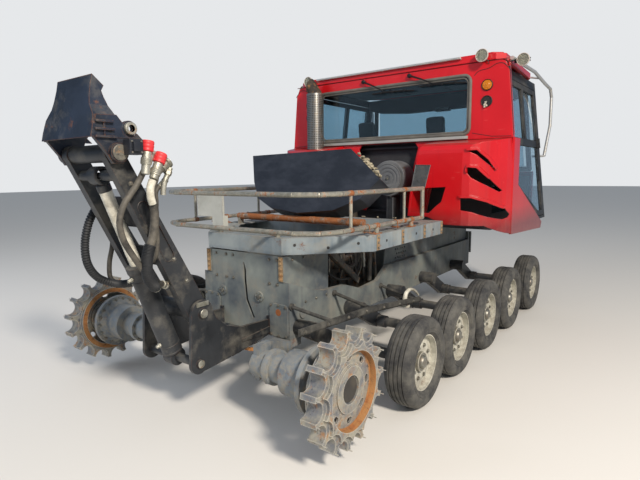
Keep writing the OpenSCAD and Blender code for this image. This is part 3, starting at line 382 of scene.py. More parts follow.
# %% [markdown]
# Glass needs an IOR of 1.5 and real thickness. The cab's panes are tinted slightly blue, so the
# base colour is pale and the surface carries a faint film of dust that keeps it readable.

# %% Glass and lenses
def glazing(name, tint, film, rough):
    mat, tree, shader, place = start(name)
    dust = patches(tree, place, 0.45, 0.85, film, 260, 6, 0.65)
    give(tree, shader, Base_Color=mix(tree, dust, tint, "#a8a595"), IOR=1.5)
    give(tree, shader, Transmission_Weight=1.0, Roughness=remap(tree, dust, rough, 0.35))
    return mat


window_glass = glazing("window_glass", "#a9c4d2", 0.05, 0.0)
lamp_lens = glazing("lamp_lens", "#e8e8e0", 0.6, 0.12)


def amber():
    mat, tree, shader, place = start("amber_lens")
    cells = add(tree, "TexVoronoi", dict(feature="F1"), Vector=place, Scale=1000 / 9).outputs["Distance"]
    give(tree, shader, Base_Color=mix(tree, cells, "#f09a16", "#a85206"), Roughness=0.22, IOR=1.58)
    give(tree, shader, Transmission_Weight=0.25)
    bump(tree, shader, cells, 1.2)
    return mat


amber_lens = amber()


def bright(name, colour, rough, metal=1.0, smudge="#77756c"):
    mat, tree, shader, place = start(name)
    film = patches(tree, place, 0.45, 0.75, 0.5, 40, 5, 0.6)
    give(tree, shader, Base_Color=mix(tree, film, colour, smudge), Metallic=metal)
    give(tree, shader, Roughness=remap(tree, film, rough, rough + 0.3))
    bump(tree, shader, noise(tree, place, 6, 3), 0.2, 0.4)
    return mat


lamp_reflector = bright("lamp_reflector", "#dcdcd4", 0.18)
lamp_shell = bright("lamp_shell", "#c9c8c0", 0.35, 0.3)
heat_shield = bright("heat_shield", "#a9a8a2", 0.32, 0.9, "#7d6a52")
plated_bolt = bright("plated_bolt", "#8d8c84", 0.45, 0.8, "#6b4a30")

# %% [markdown]
# Seats are woven wool-blend cloth over foam. The weave is two crossed sine waves at 4 mm, coarser
# than real thread so that it survives at this distance, with sheen for the fuzz.

# %% Cloth and cab lining
WEAVE_SCALE = 1000 / 4 / 6.28


def cloth(name, colour, light):
    mat, tree, shader, place = start(name)
    warp, weft = [
        add(tree, "TexWave", dict(bands_direction=way), Vector=place, Scale=WEAVE_SCALE).outputs["Fac"]
        for way in ("Z", "Y")
    ]
    weave = calc(tree, "MULTIPLY", warp, weft)
    fuzz = calc(tree, "MAXIMUM", weave, patches(tree, place, 0.4, 0.7, 0.7, 180, 4))
    give(tree, shader, Base_Color=mix(tree, fuzz, colour, light), Roughness=0.95, Sheen_Weight=0.4)
    bump(tree, shader, weave, 0.8)
    return mat


seat_cloth = cloth("seat_cloth", "#26282e", "#43454c")
lining = plastic("cab_lining", "#2a2c30", "#45474a", 0.4, 0.75, 3)
headliner = cloth("headliner_felt", "#15181d", "#23272d")
print("materials", len(bpy.data.materials))


# %% [markdown]
# A few small surfaces have stories of their own: the exhaust pipe is scaled nearly black, the steel
# step plates are polished by boots, and one cover shows a spot of orange primer.

# %% Odd finishes
exhaust_scale = cast_steel("exhaust_scale", "#2f2b28", "#4d4438", 0.3, 0.7, 0.3, 6)
wear_plate = cast_steel("wear_plate", "#b4b6b0", "#9b9d97", 0.25, 0.5, 0.6, 5)
tan_rust = cast_steel("tan_rust", "#836a4e", "#a18a6a", 0.45, 0.8, 0.1)
cap_steel = cast_steel("cap_steel", "#5c5a54", "#77746b", 0.3, 0.5, 0.5, 5)
mesh_steel = cast_steel("mesh_steel", "#5d6166", "#777a7c", 0.15, 0.5, 0.5, 5)
grease_black = plastic("grease_black", "#2d2b29", "#5d564a", 0.6, 0.6)
primer_spot = plastic("primer_spot", "#94552a", "#6f4a30", 0.6, 0.75)
drum_plastic = plastic("drum_plastic", "#56585b", "#7d7e7d", 0.45, 0.6)
lamp_rim = plastic("lamp_rim", "#bdb4ac", "#93877d", 0.5, 0.4)
joint_shadow = plastic("joint_shadow", "#5a0b12", "#7a1a1e", 0.3, 0.7)

# %% [markdown]
# Every CAD solid first gets the finish of the real piece. Faces of boxes stay sharp, while anything
# turned on a lathe is shaded smooth up to 35 degrees.

# %% Dress the CAD solids
SMOOTH_DEGREES = 35
FINISH = {
    "hull_body": hull_enamel,
    "engine_block": engine_iron,
    "deck_frame": deck_enamel,
    "deck_rail": zinc_tube,
    "deck_box": box_enamel,
    "engine_hood": black_abs,
    "air_cleaner": grey_plastic,
    "exhaust_stack": heat_shield,
    "final_drives": drive_enamel,
    "wheel_arms": black_enamel,
    "mud_strips": strip_rubber,
    "rear_bracket": black_enamel,
    "front_carrier": hull_enamel,
    "cab_tub": lining,
    "cab_rear_wall": red_gelcoat,
    "rear_glass": window_glass,
    "cab_roof": red_gelcoat,
    "door_frames": frame_enamel,
    "cab_nose": red_gelcoat,
    "screen_frame": frame_enamel,
    "windscreen": window_glass,
    "seats": seat_cloth,
    "console": lining,
    "rear_wipers": wiper_plastic,
    "grab_tubes": mirror_tube,
    "work_lamps": lamp_shell,
    "signal_lamps": amber_lens,
    "lift_arm": black_enamel,
    "lift_head": head_enamel,
    "lift_barrel": black_enamel,
    "lift_rod": sleeve_cover,
    "arm_hoses": hose_rubber,
}
for side_name in ("left", "right"):
    FINISH["quarter_panel_" + side_name] = red_gelcoat
    FINISH["door_" + side_name] = frame_enamel
    FINISH["door_glass_" + side_name] = window_glass
    FINISH["sprocket_" + side_name] = sprocket_steel
    for number in range(1, 6):
        FINISH[f"tyre_{side_name}_{number}"] = tyre_rubber
        FINISH[f"rim_{side_name}_{number}"] = rim_enamel


def dress(obj, mat):
    obj.data.materials.clear()
    obj.data.materials.append(mat)
    for face in obj.data.polygons:
        face.material_index = 0


for name, mat in FINISH.items():
    dress(nodes[name], mat)
    nodes[name].data.shade_smooth()
    nodes[name].data.set_sharp_from_angle(angle=math.radians(SMOOTH_DEGREES))
print("dressed", len(FINISH), "of", len(nodes))

# %% [markdown]
# Finer pieces are tubes, turned parts, pressed plates and fasteners. Each builder below adds one such
# form to an open bmesh, so that a whole piece is collected first and becomes one object at the end.

# %% Mesh helpers
tally = {}


def bake(name, bm, mats, body, smooth=SMOOTH_DEGREES, hides=()):
    """Closes a bmesh into an object that rides on a body, in the finish of a slot."""
    bmesh.ops.recalc_face_normals(bm, faces=bm.faces)
    mesh = bpy.data.meshes.new(name)
    bm.to_mesh(mesh)
    bm.free()
    for mat in mats if isinstance(mats, list) else [mats]:
        mesh.materials.append(mat)
    mesh.shade_smooth()
    mesh.set_sharp_from_angle(angle=math.radians(smooth))
    obj = bpy.data.objects.new(name, mesh)
    bpy.context.scene.collection.objects.link(obj)
    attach(obj, body)
    if hides:
        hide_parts(*hides)
    tally[name] = sum(len(face.vertices) - 2 for face in mesh.polygons)
    return obj


def square_to(along):
    """Two unit vectors square to a direction and to each other."""
    along = along.normalized()
    first = along.cross(Z if abs(along.z) < 0.9 else X).normalized()
    return first, along.cross(first).normalized()


def circle(first, second, radius, count, shift=0.0):
    """Offsets round a circle in the plane of two unit vectors."""
    turns = [math.tau * (k + shift) / count for k in range(count)]
    return [first * (radius * math.cos(a)) + second * (radius * math.sin(a)) for a in turns]


def skin(bm, rings, mat=0, closed=False, caps=True):
    """Joins rings of equally many points by quads, with flat ends or as a closed loop."""
    made = [[bm.verts.new(p) for p in ring] for ring in rings]
    count = len(made[0])
    pairs = list(zip(made, made[1:])) + ([(made[-1], made[0])] if closed else [])
    for low, high in pairs:
        for i in range(count):
            j = (i + 1) % count
            bm.faces.new((low[i], low[j], high[j], high[i])).material_index = mat
    if caps and not closed:
        bm.faces.new(list(reversed(made[0]))).material_index = mat
        bm.faces.new(made[-1]).material_index = mat


def curve(points, steps=6):
    """A smooth line through points, by Catmull and Rom's rule."""
    pts = [Vector(p) for p in points]
    ends = [pts[0] * 2 - pts[1]] + pts + [pts[-1] * 2 - pts[-2]]
    line = []
    for a, b, c, d in zip(ends, ends[1:], ends[2:], ends[3:]):
        for k in range(steps):
            t = k / steps
            bend = (2 * a - 5 * b + 4 * c - d) * t * t + (3 * b - a - 3 * c + d) * t ** 3
            line.append(0.5 * (2 * b + (c - a) * t + bend))
    return line + [pts[-1]]


def bent(points, steps):
    """A smooth line through stations."""
    return curve([at(*p) for p in points], steps)


def sweep(bm, line, radius, around=10, mat=0, closed=False, flat=1.0):
    """A tube along a line. The radius may change from point to point, or be flattened upwards."""
    line = [Vector(p) for p in line]
    count = len(line)
    side_way = None
    rings = []
    for i, place in enumerate(line):
        before = line[i - 1] if i or closed else place
        after = line[(i + 1) % count] if i < count - 1 or closed else place
        along = (after - before).normalized()
        if side_way is None:
            side_way = square_to(along)[0]
        side_way = (side_way - along * side_way.dot(along)).normalized()
        other = along.cross(side_way)
        r = radius(i / (count - 1)) if callable(radius) else radius
        turns = [math.tau * k / around for k in range(around)]
        ring = [place + side_way * (math.cos(a) * r) + other * (math.sin(a) * r * flat) for a in turns]
        rings.append(ring)
    skin(bm, rings, mat, closed)


def turned(bm, profile, foot, along, around=32, mat=0, caps=True):
    """A lathe part: (distance, radius) pairs along a direction from its foot."""
    along = along.normalized()
    a, b = square_to(along)
    rings = [[foot + along * d + p for p in circle(a, b, max(r, 1e-4), around)] for d, r in profile]
    skin(bm, rings, mat, False, caps)


def collar(bm, middle, along, half, slope, tube, band, around=24, mat=0):
    """A band round a tube, half on each side of its middle, with sloping ends."""
    profile = ((-half, tube), (slope - half, band), (half - slope, band), (half, tube))
    turned(bm, profile, middle, along, around, mat, False)


def soften_edges(bm, rim, width):
    shape = dict(segments=2, affect="EDGES", profile=0.6, clamp_overlap=True)
    bmesh.ops.bevel(bm, geom=list(rim), offset=width, **shape)


def slab(bm, outline, origin, across, up, depth, mat=0, soften=0.0):
    """A plate with a drawn outline: (across, up) pairs, thick along across x up."""
    normal = across.cross(up).normalized() * depth
    low = [bm.verts.new(origin + across * p[0] + up * p[1]) for p in outline]
    high = [bm.verts.new(v.co + normal) for v in low]
    faces = [bm.faces.new(list(reversed(low))), bm.faces.new(high)]
    for i in range(len(low)):
        j = (i + 1) % len(low)
        faces.append(bm.faces.new((low[i], low[j], high[j], high[i])))
    for face in faces:
        face.material_index = mat
    if soften:
        soften_edges(bm, set(e for face in faces[:2] for e in face.edges), soften)


def brick(bm, low, high, mat=0, soften=0.003):
    """A block with rounded edges between two corners."""
    made = bmesh.ops.create_cube(bm, size=1.0)["verts"]
    for v in made:
        v.co = Vector([low[i] + (high[i] - low[i]) * (v.co[i] + 0.5) for i in range(3)])
    for face in set(f for v in made for f in v.link_faces):
        face.material_index = mat
    soften_edges(bm, set(e for v in made for e in v.link_edges), soften)


def bricks(bm, *rows):
    """Blocks between stations, as rows of (low corner, high corner, material, softening)."""
    for low, high, mat, soften in rows:
        brick(bm, at(*low), at(*high), mat, soften)


def bolt(bm, place, out, size=0.017, mat=0, washer=True):
    """A hexagon head on its washer, turned by a seeded angle."""
    out = out.normalized()
    a, b = square_to(out)
    if washer:
        turned(bm, [(0, size * 0.75), (size * 0.12, size * 0.75)], place, out, 14, mat)
    shift = rng.random() * 6
    heights = ((0.1, 0.56), (0.5, 0.56), (0.58, 0.46))
    rings = [[place + out * (size * h) + p for p in circle(a, b, size * r, 6, shift)] for h, r in heights]
    skin(bm, rings, mat)


def bolt_ring(bm, middle, radius, count, out, size, shift=0.0, mat=0, washer=True, first=X):
    """Bolts in a ring that stands upright."""
    for offset in circle(first, Z, radius, count, shift):
        bolt(bm, middle + offset, out, size, mat, washer)


def rounded(wide, high, r, steps=6):
    """Points of a rectangle with round corners, centred."""
    points = []
    for cx, cy, first in ((1, 1, 0), (-1, 1, 90), (-1, -1, 180), (1, -1, 270)):
        for k in range(steps + 1):
            a = math.radians(first + 90 * k / steps)
            points.append((cx * (wide / 2 - r) + r * math.cos(a), cy * (high / 2 - r) + r * math.sin(a)))
    return points


print("helpers ready")

# %% [markdown]
# Each road wheel wears a hard rubber tyre with five ribs, moulded in one piece. A lathe profile gives
# the tread grooves, the round shoulders and the fine rings on the sidewall; the same profile serves
# all ten wheels, because the real ones are interchangeable.

# %% Tyres
TYRE_FACE, TYRE_WIDE = 1.422, 0.205
TYRE_R, BEAD_R = 0.334, 0.205
WHEEL_STATIONS = (0.889, 1.589, 2.352, 3.121, 4.041)
GROOVES = (-0.048, -0.016, 0.016, 0.048)
SIDEWALL = (  # (in from the face, above the bead)
    (0.028, 0.0), (0.015, 0.013), (0.005, 0.02), (0.007, 0.026),
    (0.002, 0.04), (0.006, 0.046), (0.0015, 0.055),
)
SHOULDER = ((0.0, 0.05), (0.005, 0.03), (0.014, 0.018), (0.03, 0.006))  # (in from the face, below the tread)
SCUFF = 0.0011


def tyre_profile():
    """(across, radius) pairs from one bead over the tread to the other."""
    half = TYRE_WIDE / 2
    side = [(half - a, BEAD_R + r) for a, r in SIDEWALL] + [(half - a, TYRE_R - r) for a, r in SHOULDER]
    tread = []
    for y in GROOVES:
        tread += [(y - 0.006, TYRE_R), (y - 0.004, TYRE_R - 0.003), (y - 0.003, TYRE_R - 0.010)]
        tread += [(y + 0.003, TYRE_R - 0.010), (y + 0.004, TYRE_R - 0.003), (y + 0.006, TYRE_R)]
    return [(-a, r) for a, r in side] + tread + [(a, r) for a, r in reversed(side)]


def wheel_sets():
    for side_name, s in SIDES:
        for number, x in enumerate(WHEEL_STATIONS, 1):
            yield f"{side_name}_{number}", s, at(x, s * (TYRE_FACE - TYRE_WIDE / 2), TYRE_R)


for tag, s, middle in wheel_sets():
    bm = bmesh.new()
    turned(bm, tyre_profile(), middle, Y, 88, caps=False)
    for v in bm.verts:
        away = v.co - middle
        radial = Vector((away.x, 0, away.z))
        if radial.length > TYRE_R - 0.012:  # scuffed tread
            v.co -= radial.normalized() * abs(rng.gauss(0, SCUFF))
    bake("tyre_rubber_" + tag, bm, tyre_rubber, "wheel_" + tag, 30, ["tyre_" + tag])
print("tyre triangles", tally["tyre_rubber_left_1"])

# %% [markdown]
# The wheel disc is pressed steel. Eight studs hold it to the hub, whose grease cap stands out in the
# middle; a rolled lip runs round the rim where the tyre's bead sits.

# %% Wheel discs and hubs
CAP = (
    (-0.03, 0.073), (0.012, 0.0725), (0.016, 0.068), (0.017, 0.05),
    (0.027, 0.048), (0.036, 0.041), (0.039, 0.02), (0.04, 0.0),
)
RIM_LIP = (
    (0.050, 0.198), (0.062, 0.199), (0.070, 0.2035), (0.0745, 0.2045),
    (0.0745, 0.2015), (0.066, 0.197), (0.050, 0.198),
)
for tag, s, middle in wheel_sets():
    bm = bmesh.new()
    out = Y * s
    bolt_ring(bm, middle + out * 0.0399, 0.121, 8, out, 0.021, 0.5)
    turned(bm, CAP, middle + out * 0.036, out, 40)
    turned(bm, RIM_LIP, middle, out, 72, caps=False)
    bake("wheel_hub_" + tag, bm, plated_bolt, "wheel_" + tag, 30)
print("hub triangles", tally["wheel_hub_left_1"])

# %% [markdown]
# The final drive is held by rings of bolts. They were never painted, so they rust first.
# Two rings sit on the drive itself, another on the sprocket's hub.

# %% Drive bolts
AXLE_Z, HUB_FACE = 0.447, 1.318
AXLE = at(0, 0, AXLE_Z)
for side_name, s in SIDES:
    bm = bmesh.new()
    bolt_ring(bm, AXLE + Y * (s * 1.074), 0.19, 18, Y * -s, 0.02)
    bolt_ring(bm, AXLE + Y * (s * 0.715), 0.107, 10, Y * -s, 0.018, 0.5)
    bake("drive_bolts_" + side_name, bm, plated_bolt, "chassis", 30)
    bm = bmesh.new()
    bolt_ring(bm, AXLE + Y * (s * HUB_FACE), 0.118, 16, Y * s, 0.02)
    bake("hub_bolts_" + side_name, bm, plated_bolt, "sprocket_" + side_name, 30)

# %% [markdown]
# Where the track rubbed, the sprocket is bright; in its dish and on its inner ring, water stood and it
# rusted. The shaft's end in the middle stays dark with old grease.

# %% Rusted rings and shaft ends
DRUM_IN, DISH_Y, FACE_Y, INNER_Y, SHAFT_END = 0.236, 1.315, 1.361, 1.200, 1.316
DISH_WALL = (
    (DISH_Y, DRUM_IN - 0.012), (DISH_Y + 0.0015, DRUM_IN - 0.012), (DISH_Y + 0.004, DRUM_IN - 0.002),
    (FACE_Y - 0.004, DRUM_IN - 0.0015), (FACE_Y - 0.001, DRUM_IN + 0.0005), (DISH_Y, DRUM_IN + 0.0005),
)
INNER_RING = (
    (-INNER_Y, DRUM_IN - 0.004), (0.0022 - INNER_Y, DRUM_IN - 0.004),
    (0.0022 - INNER_Y, DRUM_IN + 0.032), (-INNER_Y, DRUM_IN + 0.032),
)
SHAFT = ((0.0, 0.078), (0.003, 0.077), (0.004, 0.066), (0.001, 0.060), (0.001, 0))
for side_name, s in SIDES:
    bm = bmesh.new()
    turned(bm, DISH_WALL, AXLE, Y * s, 72, caps=False)
    turned(bm, INNER_RING, AXLE, Y * -s, 72, caps=False)
    bolt_ring(bm, AXLE + Y * (s * (INNER_Y - 0.002)), DRUM_IN + 0.014, 12, Y * -s, 0.016, 0.3)
    bake("rusted_rings_" + side_name, bm, rust_scale, "sprocket_" + side_name)
    bm = bmesh.new()
    turned(bm, SHAFT, AXLE + Y * (s * SHAFT_END), Y * s, 48)
    bake("shaft_end_" + side_name, bm, grease_black, "chassis")

# %% [markdown]
# The rear window sits in a round rubber seal, a profile pulled around the pane's edge. It is swept
# along the same rounded rectangle as the opening, so it covers the joint between glass and shell.

# %% Rear window seal
CAB_REAR = 2.85
WINDOW_HALF, WINDOW_LOW, WINDOW_HIGH = 0.966, 2.095, 2.698
WINDOW_MID = (WINDOW_LOW + WINDOW_HIGH) / 2

bm = bmesh.new()
for inset, corner_r, depth, radius, around in ((0.0, 0.07, -0.002, 0.017, 10), (0.05, 0.06, 0.006, 0.011, 8)):
    ring = rounded(2 * WINDOW_HALF - inset, WINDOW_HIGH - WINDOW_LOW - inset, corner_r, 8)
    sweep(bm, [at(CAB_REAR + depth, y, WINDOW_MID + z) for y, z in ring], radius, around, closed=True)
bake("window_seal", bm, seal_rubber, "chassis")

# %% [markdown]
# Two wipers hang from the top of the rear window. Each has a motor boss, a pressed arm that tapers,
# and a long blade holder with a rubber edge. Both are parked to the machine's right.

# %% Wipers
WIPERS = (  # pivot y and z, arm end y and z, blade from and to in y, blade z
    (0.320, 2.772, 0.011, 2.620, 0.196, -0.340, 2.610),
    (-0.277, 2.770, -0.583, 2.642, -0.406, -0.927, 2.628),
)
BOSS = ((0, 0.02), (0.012, 0.024), (0.03, 0.024), (0.036, 0.018))
bm = bmesh.new()
for pivot_y, pivot_z, end_y, end_z, first, last, blade_z in WIPERS:
    turned(bm, BOSS, at(CAB_REAR - 0.002, pivot_y, pivot_z), -X, 20)
    elbow = (CAB_REAR - 0.044, (pivot_y + end_y) / 2, (pivot_z + end_z) / 2 + 0.006)
    arm = bent([(CAB_REAR - 0.034, pivot_y, pivot_z), elbow, (CAB_REAR - 0.036, end_y, end_z)], 5)
    sweep(bm, arm, lambda t: 0.011 - 0.005 * t, 8)
    crown = (CAB_REAR - 0.033, (first + last) / 2, blade_z + 0.014)
    ends = (CAB_REAR - 0.030, first, blade_z + 0.010), (CAB_REAR - 0.030, last, blade_z - 0.004)
    blade = bent([ends[0], crown, ends[1]], 8)
    sweep(bm, blade, 0.0085, 6)
    sweep(bm, [p + X * 0.012 - Z * 0.004 for p in blade], 0.005, 5, 1)
    for t in (0.22, 0.5, 0.78):
        clip = at(CAB_REAR - 0.032, first + (last - first) * t, blade_z + 0.009)
        reach = Vector((0.014, 0.014, 0.013))
        brick(bm, clip - reach, clip + reach)
bake("wiper_set", bm, [wiper_plastic, black_rubber_and_hole_shade], "chassis", 35, ["rear_wipers"])

# %% [markdown]
# Work lamps are pressed steel bowls with a rolled bezel, a bright reflector and a domed glass. One
# lathe profile per layer makes all four: two on the roof's corners and two on brackets beside it.

# %% Work lamps
ROOF_LAMPS = [at(2.82, s * 1.100, 2.856) for s in (-1, 1)]
SIDE_LAMPS = [at(3.12, s * 1.420, 2.825) for s in (-1, 1)]
BACK = ((0, 0.030), (0.006, 0.044), (0.02, 0.056), (0.04, 0.0605), (0.048, 0.0615))
BEZEL = ((0.044, 0.0605), (0.047, 0.0635), (0.053, 0.0645), (0.059, 0.0625), (0.060, 0.058), (0.054, 0.0565))
BOWL = ((0.0525, 0.0565), (0.046, 0.054), (0.038, 0.046), (0.031, 0.032), (0.028, 0.014), (0.0275, 0.0))
BULB = ((0.028, 0.012), (0.034, 0.012), (0.043, 0.007), (0.045, 0.0))
LENS = ((0.050, 0.0563), (0.0545, 0.0563), (0.058, 0.043), (0.0596, 0.022), (0.0598, 0.0))
BRACKET = ((-0.07, -0.018), (0.04, -0.018), (0.052, -0.006), (0.052, 0.02), (-0.07, 0.02))

shell, glass = bmesh.new(), bmesh.new()
for foot in ROOF_LAMPS + SIDE_LAMPS:
    turned(shell, BACK, foot, -X, 36)
    turned(shell, BEZEL, foot, -X, 36, 4, caps=False)
    turned(shell, BOWL, foot, -X, 36, 2, caps=False)
    turned(shell, BULB, foot, -X, 12, 2)
    turned(glass, LENS, foot, -X)
for foot, s in zip(ROOF_LAMPS, (-1, 1)):
    brick(shell, foot + Vector((-0.004, -0.018, -0.016)), foot + Vector((0.018, 0.018, 0.010)), 3)
    bolt(shell, foot + Vector((0.006, 0, 0.010)), Z, 0.014, 3)
    cable = ((0.004, s * 0.02, -0.02), (0.01, s * 0.045, -0.05), (0.026, s * 0.05, -0.075))
    sweep(shell, curve([foot + Vector(p) for p in cable], 4), 0.004, 6, 3)
for foot, s in zip(SIDE_LAMPS, (-1, 1)):
    plate = [(-u * s, v) for u, v in BRACKET][::-s]
    slab(shell, plate, foot + X * 0.002 - Y * s * 0.03, Y * -1, Z, -0.006, 3, 0.001)
    stub = [foot + Vector(p) for p in ((-0.03, -s * 0.128, 0.012), (-0.03, -s * 0.066, 0.007))]
    sweep(shell, stub, 0.013, 10, 3)
    for k in (-1, 1):
        bolt(shell, foot + Vector((-0.02, s * 0.058, 0.012 * k)), Y * s, 0.012, 3)
lamp_mats = [lamp_shell, black_abs, lamp_reflector, black_enamel, lamp_rim]
bake("work_lamp_shells", shell, lamp_mats, "chassis", 35, ["work_lamps"])
bake("work_lamp_glasses", glass, lamp_lens, "chassis")

# %% [markdown]
# On each corner post sits an amber lamp in a black rubber bezel, and below it an empty hole: the
# lamp is gone and its wires hang out. A serrated rubber strip runs up the post's outer edge.

# %% Signal lamps and strips on the corner posts
POST_LAMP_Y, AMBER_Z, EMPTY_Z = 1.138, 2.576, 2.416
POST_RING = (
    (-0.004, 0.0495), (0.004, 0.0495), (0.009, 0.0515), (0.011, 0.054),
    (0.009, 0.057), (0.0, 0.058), (-0.004, 0.054),
)
AMBER_DOME = (
    (0.0, 0.0485), (0.011, 0.0485), (0.017, 0.043), (0.019, 0.034), (0.0175, 0.030),
    (0.021, 0.022), (0.0195, 0.018), (0.0225, 0.009), (0.023, 0.0),
)
TEETH, TOOTH_PART = 46, 0.62
bezels, lenses, wires = bmesh.new(), bmesh.new(), bmesh.new()
for s in (-1, 1):
    y = s * POST_LAMP_Y
    for z in (AMBER_Z, EMPTY_Z):
        turned(bezels, POST_RING, at(CAB_REAR, y, z), -X, 40, caps=False)
    turned(lenses, AMBER_DOME, at(CAB_REAR, y, AMBER_Z), -X, 36)
    # The empty hole is drawn as two black discs, one deep inside and one over its mouth: painted shade of the
    # hole's inside.
    turned(wires, [(0, 0.045), (0.002, 0.045)], at(CAB_REAR + 0.034, y, EMPTY_Z), -X, 24, 1)
    turned(wires, [(0, 0.049), (0.002, 0.049)], at(CAB_REAR - 0.0005, y, EMPTY_Z), -X, 32, 1)
    for k in range(3):
        inside = (CAB_REAR + 0.03, y + rng.uniform(-0.02, 0.02), EMPTY_Z + rng.uniform(-0.01, 0.02))
        edge = (CAB_REAR - 0.008, y + rng.uniform(-0.02, 0.02), EMPTY_Z - 0.005)
        end = (CAB_REAR - 0.018, y + rng.uniform(-0.022, 0.022), EMPTY_Z - 0.03 - 0.01 * k)
        sweep(wires, bent([inside, edge, end], 5), 0.003, 6)
        tip = at(*end)
        brick(wires, tip - Vector((0.006, 0.008, 0.014)), tip + Vector((0.006, 0.008, 0.004)), 0, 0.002)
    foot, top = at(CAB_REAR + 0.018, s * 1.408, 2.06), at(CAB_REAR + 0.018, s * 1.345, 2.74)
    for k in range(TEETH):
        sweep(bezels, [foot.lerp(top, k / TEETH), foot.lerp(top, (k + TOOTH_PART) / TEETH)], 0.0085, 6)
    sweep(bezels, [foot + X * 0.006, top + X * 0.006], 0.0075, 8)
bake("post_seals", bezels, black_rubber_and_hole_shade, "chassis")
bake("amber_lamps", lenses, amber_lens, "chassis", 35, ["signal_lamps"])
bake("loose_lamp_wires", wires, [wire_plastic, black_rubber_and_hole_shade], "chassis")

# %% [markdown]
# The shell is bonded from several mouldings. Their joints show as thin dark lines: one under the
# roof's lip, and two across each corner post. The one under the lip is dark red and is partly the
# joint and partly painted shadow of the lip.

# %% Shell joints and the ledge under the window
SEAM = (
    (1.004, 2.685), (1.048, 2.724), (1.152, 2.740), (1.227, 2.774),
    (1.289, 2.771), (1.339, 2.728), (1.365, 2.694),
)
LOW_SEAM = ((0.996, 2.105), (1.20, 2.062), (1.395, 2.055))
bm = bmesh.new()
for s in (-1, 1):
    sweep(bm, bent([(CAB_REAR - 0.0005, s * y, z) for y, z in SEAM], 4), 0.0035, 6)
    sweep(bm, [at(CAB_REAR - 0.0005, s * y, z) for y, z in LOW_SEAM], 0.003, 6)
# Under the roof's lip: the joint, with the lip's shadow painted into it in dark red.
sweep(bm, [at(CAB_REAR - 0.001, y, 2.811) for y in (-1.34, 1.34)], 0.004, 6, 1)
bake("shell_joints", bm, [black_rubber_and_hole_shade, joint_shadow], "chassis")

bm = bmesh.new()
bricks(
    bm,
    ((2.812, -0.955, 2.046), (2.852, 0.955, 2.066), 0, 0.006),
    ((2.836, -0.955, 2.060), (2.852, 0.955, 2.080), 0, 0.004),
)
for y in (-0.9, -0.45, 0.0, 0.45, 0.9):
    bolt(bm, at(2.824, y, 2.066), Z, 0.012)
bake("window_ledge", bm, grey_plastic, "chassis")

# %% [markdown]
# Low on each tail pod's face a patch of expanded metal covers an air inlet. It is drawn as strands
# that cross between the four corners of the patch, inside a thin frame, over a dark plate that is
# painted shade for the inlet's opening.

# %% Inlet mesh on the tail pods
POD_FACE = 2.420
PATCH = ((0.568, 1.779), (0.729, 1.775), (0.673, 1.552), (0.521, 1.530))  # (y, z) of its corners
STRANDS_DOWN, STRANDS_ACROSS = 14, 24


def on_patch(s, u, v):
    """A point of the patch: u across from the middle outwards, v down."""
    (ay, az), (by, bz), (cy, cz), (dy, dz) = PATCH
    top = Vector((ay + (by - ay) * u, az + (bz - az) * u))
    low = Vector((dy + (cy - dy) * u, dz + (cz - dz) * u))
    spot = top.lerp(low, v)
    return at(POD_FACE - 0.004, s * spot.x, spot.y)


bm = bmesh.new()
for s in (-1, 1):
    corners = [on_patch(s, u, v) for u, v in ((0, 0), (1, 0), (1, 1), (0, 1))]
    # A dark plate just behind the strands is painted shade: it stands for the shaded opening of the inlet.
    back = [p + X * 0.0036 for p in corners]
    skin(bm, [back, [p - X * 0.0008 for p in back]], 1)
    sweep(bm, corners, 0.0055, 6, 0, closed=True)
    for k in range(1, STRANDS_DOWN):
        sweep(bm, [on_patch(s, k / STRANDS_DOWN, v) for v in (0, 1)], 0.0022, 4)
    for k in range(1, STRANDS_ACROSS):
        sweep(bm, [on_patch(s, u, k / STRANDS_ACROSS) for u in (0, 1)], 0.0022, 4)
bake("inlet_mesh", bm, [mesh_steel, dark_trim_and_inlet_shade], "chassis")
print("cab rear", {k: tally[k] for k in ("window_seal", "wiper_set", "work_lamp_shells", "post_seals")})

# %% [markdown]
# The exhaust is a steel pipe inside a heat shield of perforated sheet, rolled to a tube and held by
# three rings. Every hole is cut: each cell of the sheet is a square with an octagon missing. The
# pipe's end is bent outwards so that rain stays out.

# %% Exhaust
STACK_X, STACK_Y = 2.69, 0.935
SHIELD_R, PIPE_R, WALL = 0.104, 0.090, 0.005
PITCH_HOLES, HOLE_R = 0.0215, 0.0074
CELL = ((1, 0.41), (0.41, 1), (-0.41, 1), (-1, 0.41), (-1, -0.41), (-0.41, -1), (0.41, -1), (1, -0.41))


def perforated(bm, middle, low, high, radius):
    """A rolled sheet with round holes in straight rows."""
    around = round(math.tau * radius / PITCH_HOLES)
    rows = round((high - low) / PITCH_HOLES)
    eight = [math.tau * (k + 0.5) / 8 for k in range(8)]

    def put(u, v):
        a = u / radius
        return bm.verts.new(middle + Vector((math.cos(a) * radius, math.sin(a) * radius, v)))

    step_u, step_v = math.tau * radius / around, (high - low) / rows
    for i in range(around):
        for j in range(rows):
            u, v = (i + 0.5) * step_u, low + (j + 0.5) * step_v
            outer = [put(u + p * step_u / 2, v + q * step_v / 2) for p, q in CELL]
            inner = [put(u + math.cos(a) * HOLE_R, v + math.sin(a) * HOLE_R) for a in eight]
            for k in range(8):
                m = (k + 1) % 8
                bm.faces.new((outer[k], outer[m], inner[m], inner[k]))
            for cx, cy, k in ((1, 1, 0), (-1, 1, 2), (-1, -1, 4), (1, -1, 6)):
                tip = put(u + cx * step_u / 2, v + cy * step_v / 2)
                bm.faces.new((outer[k], tip, outer[k + 1]))


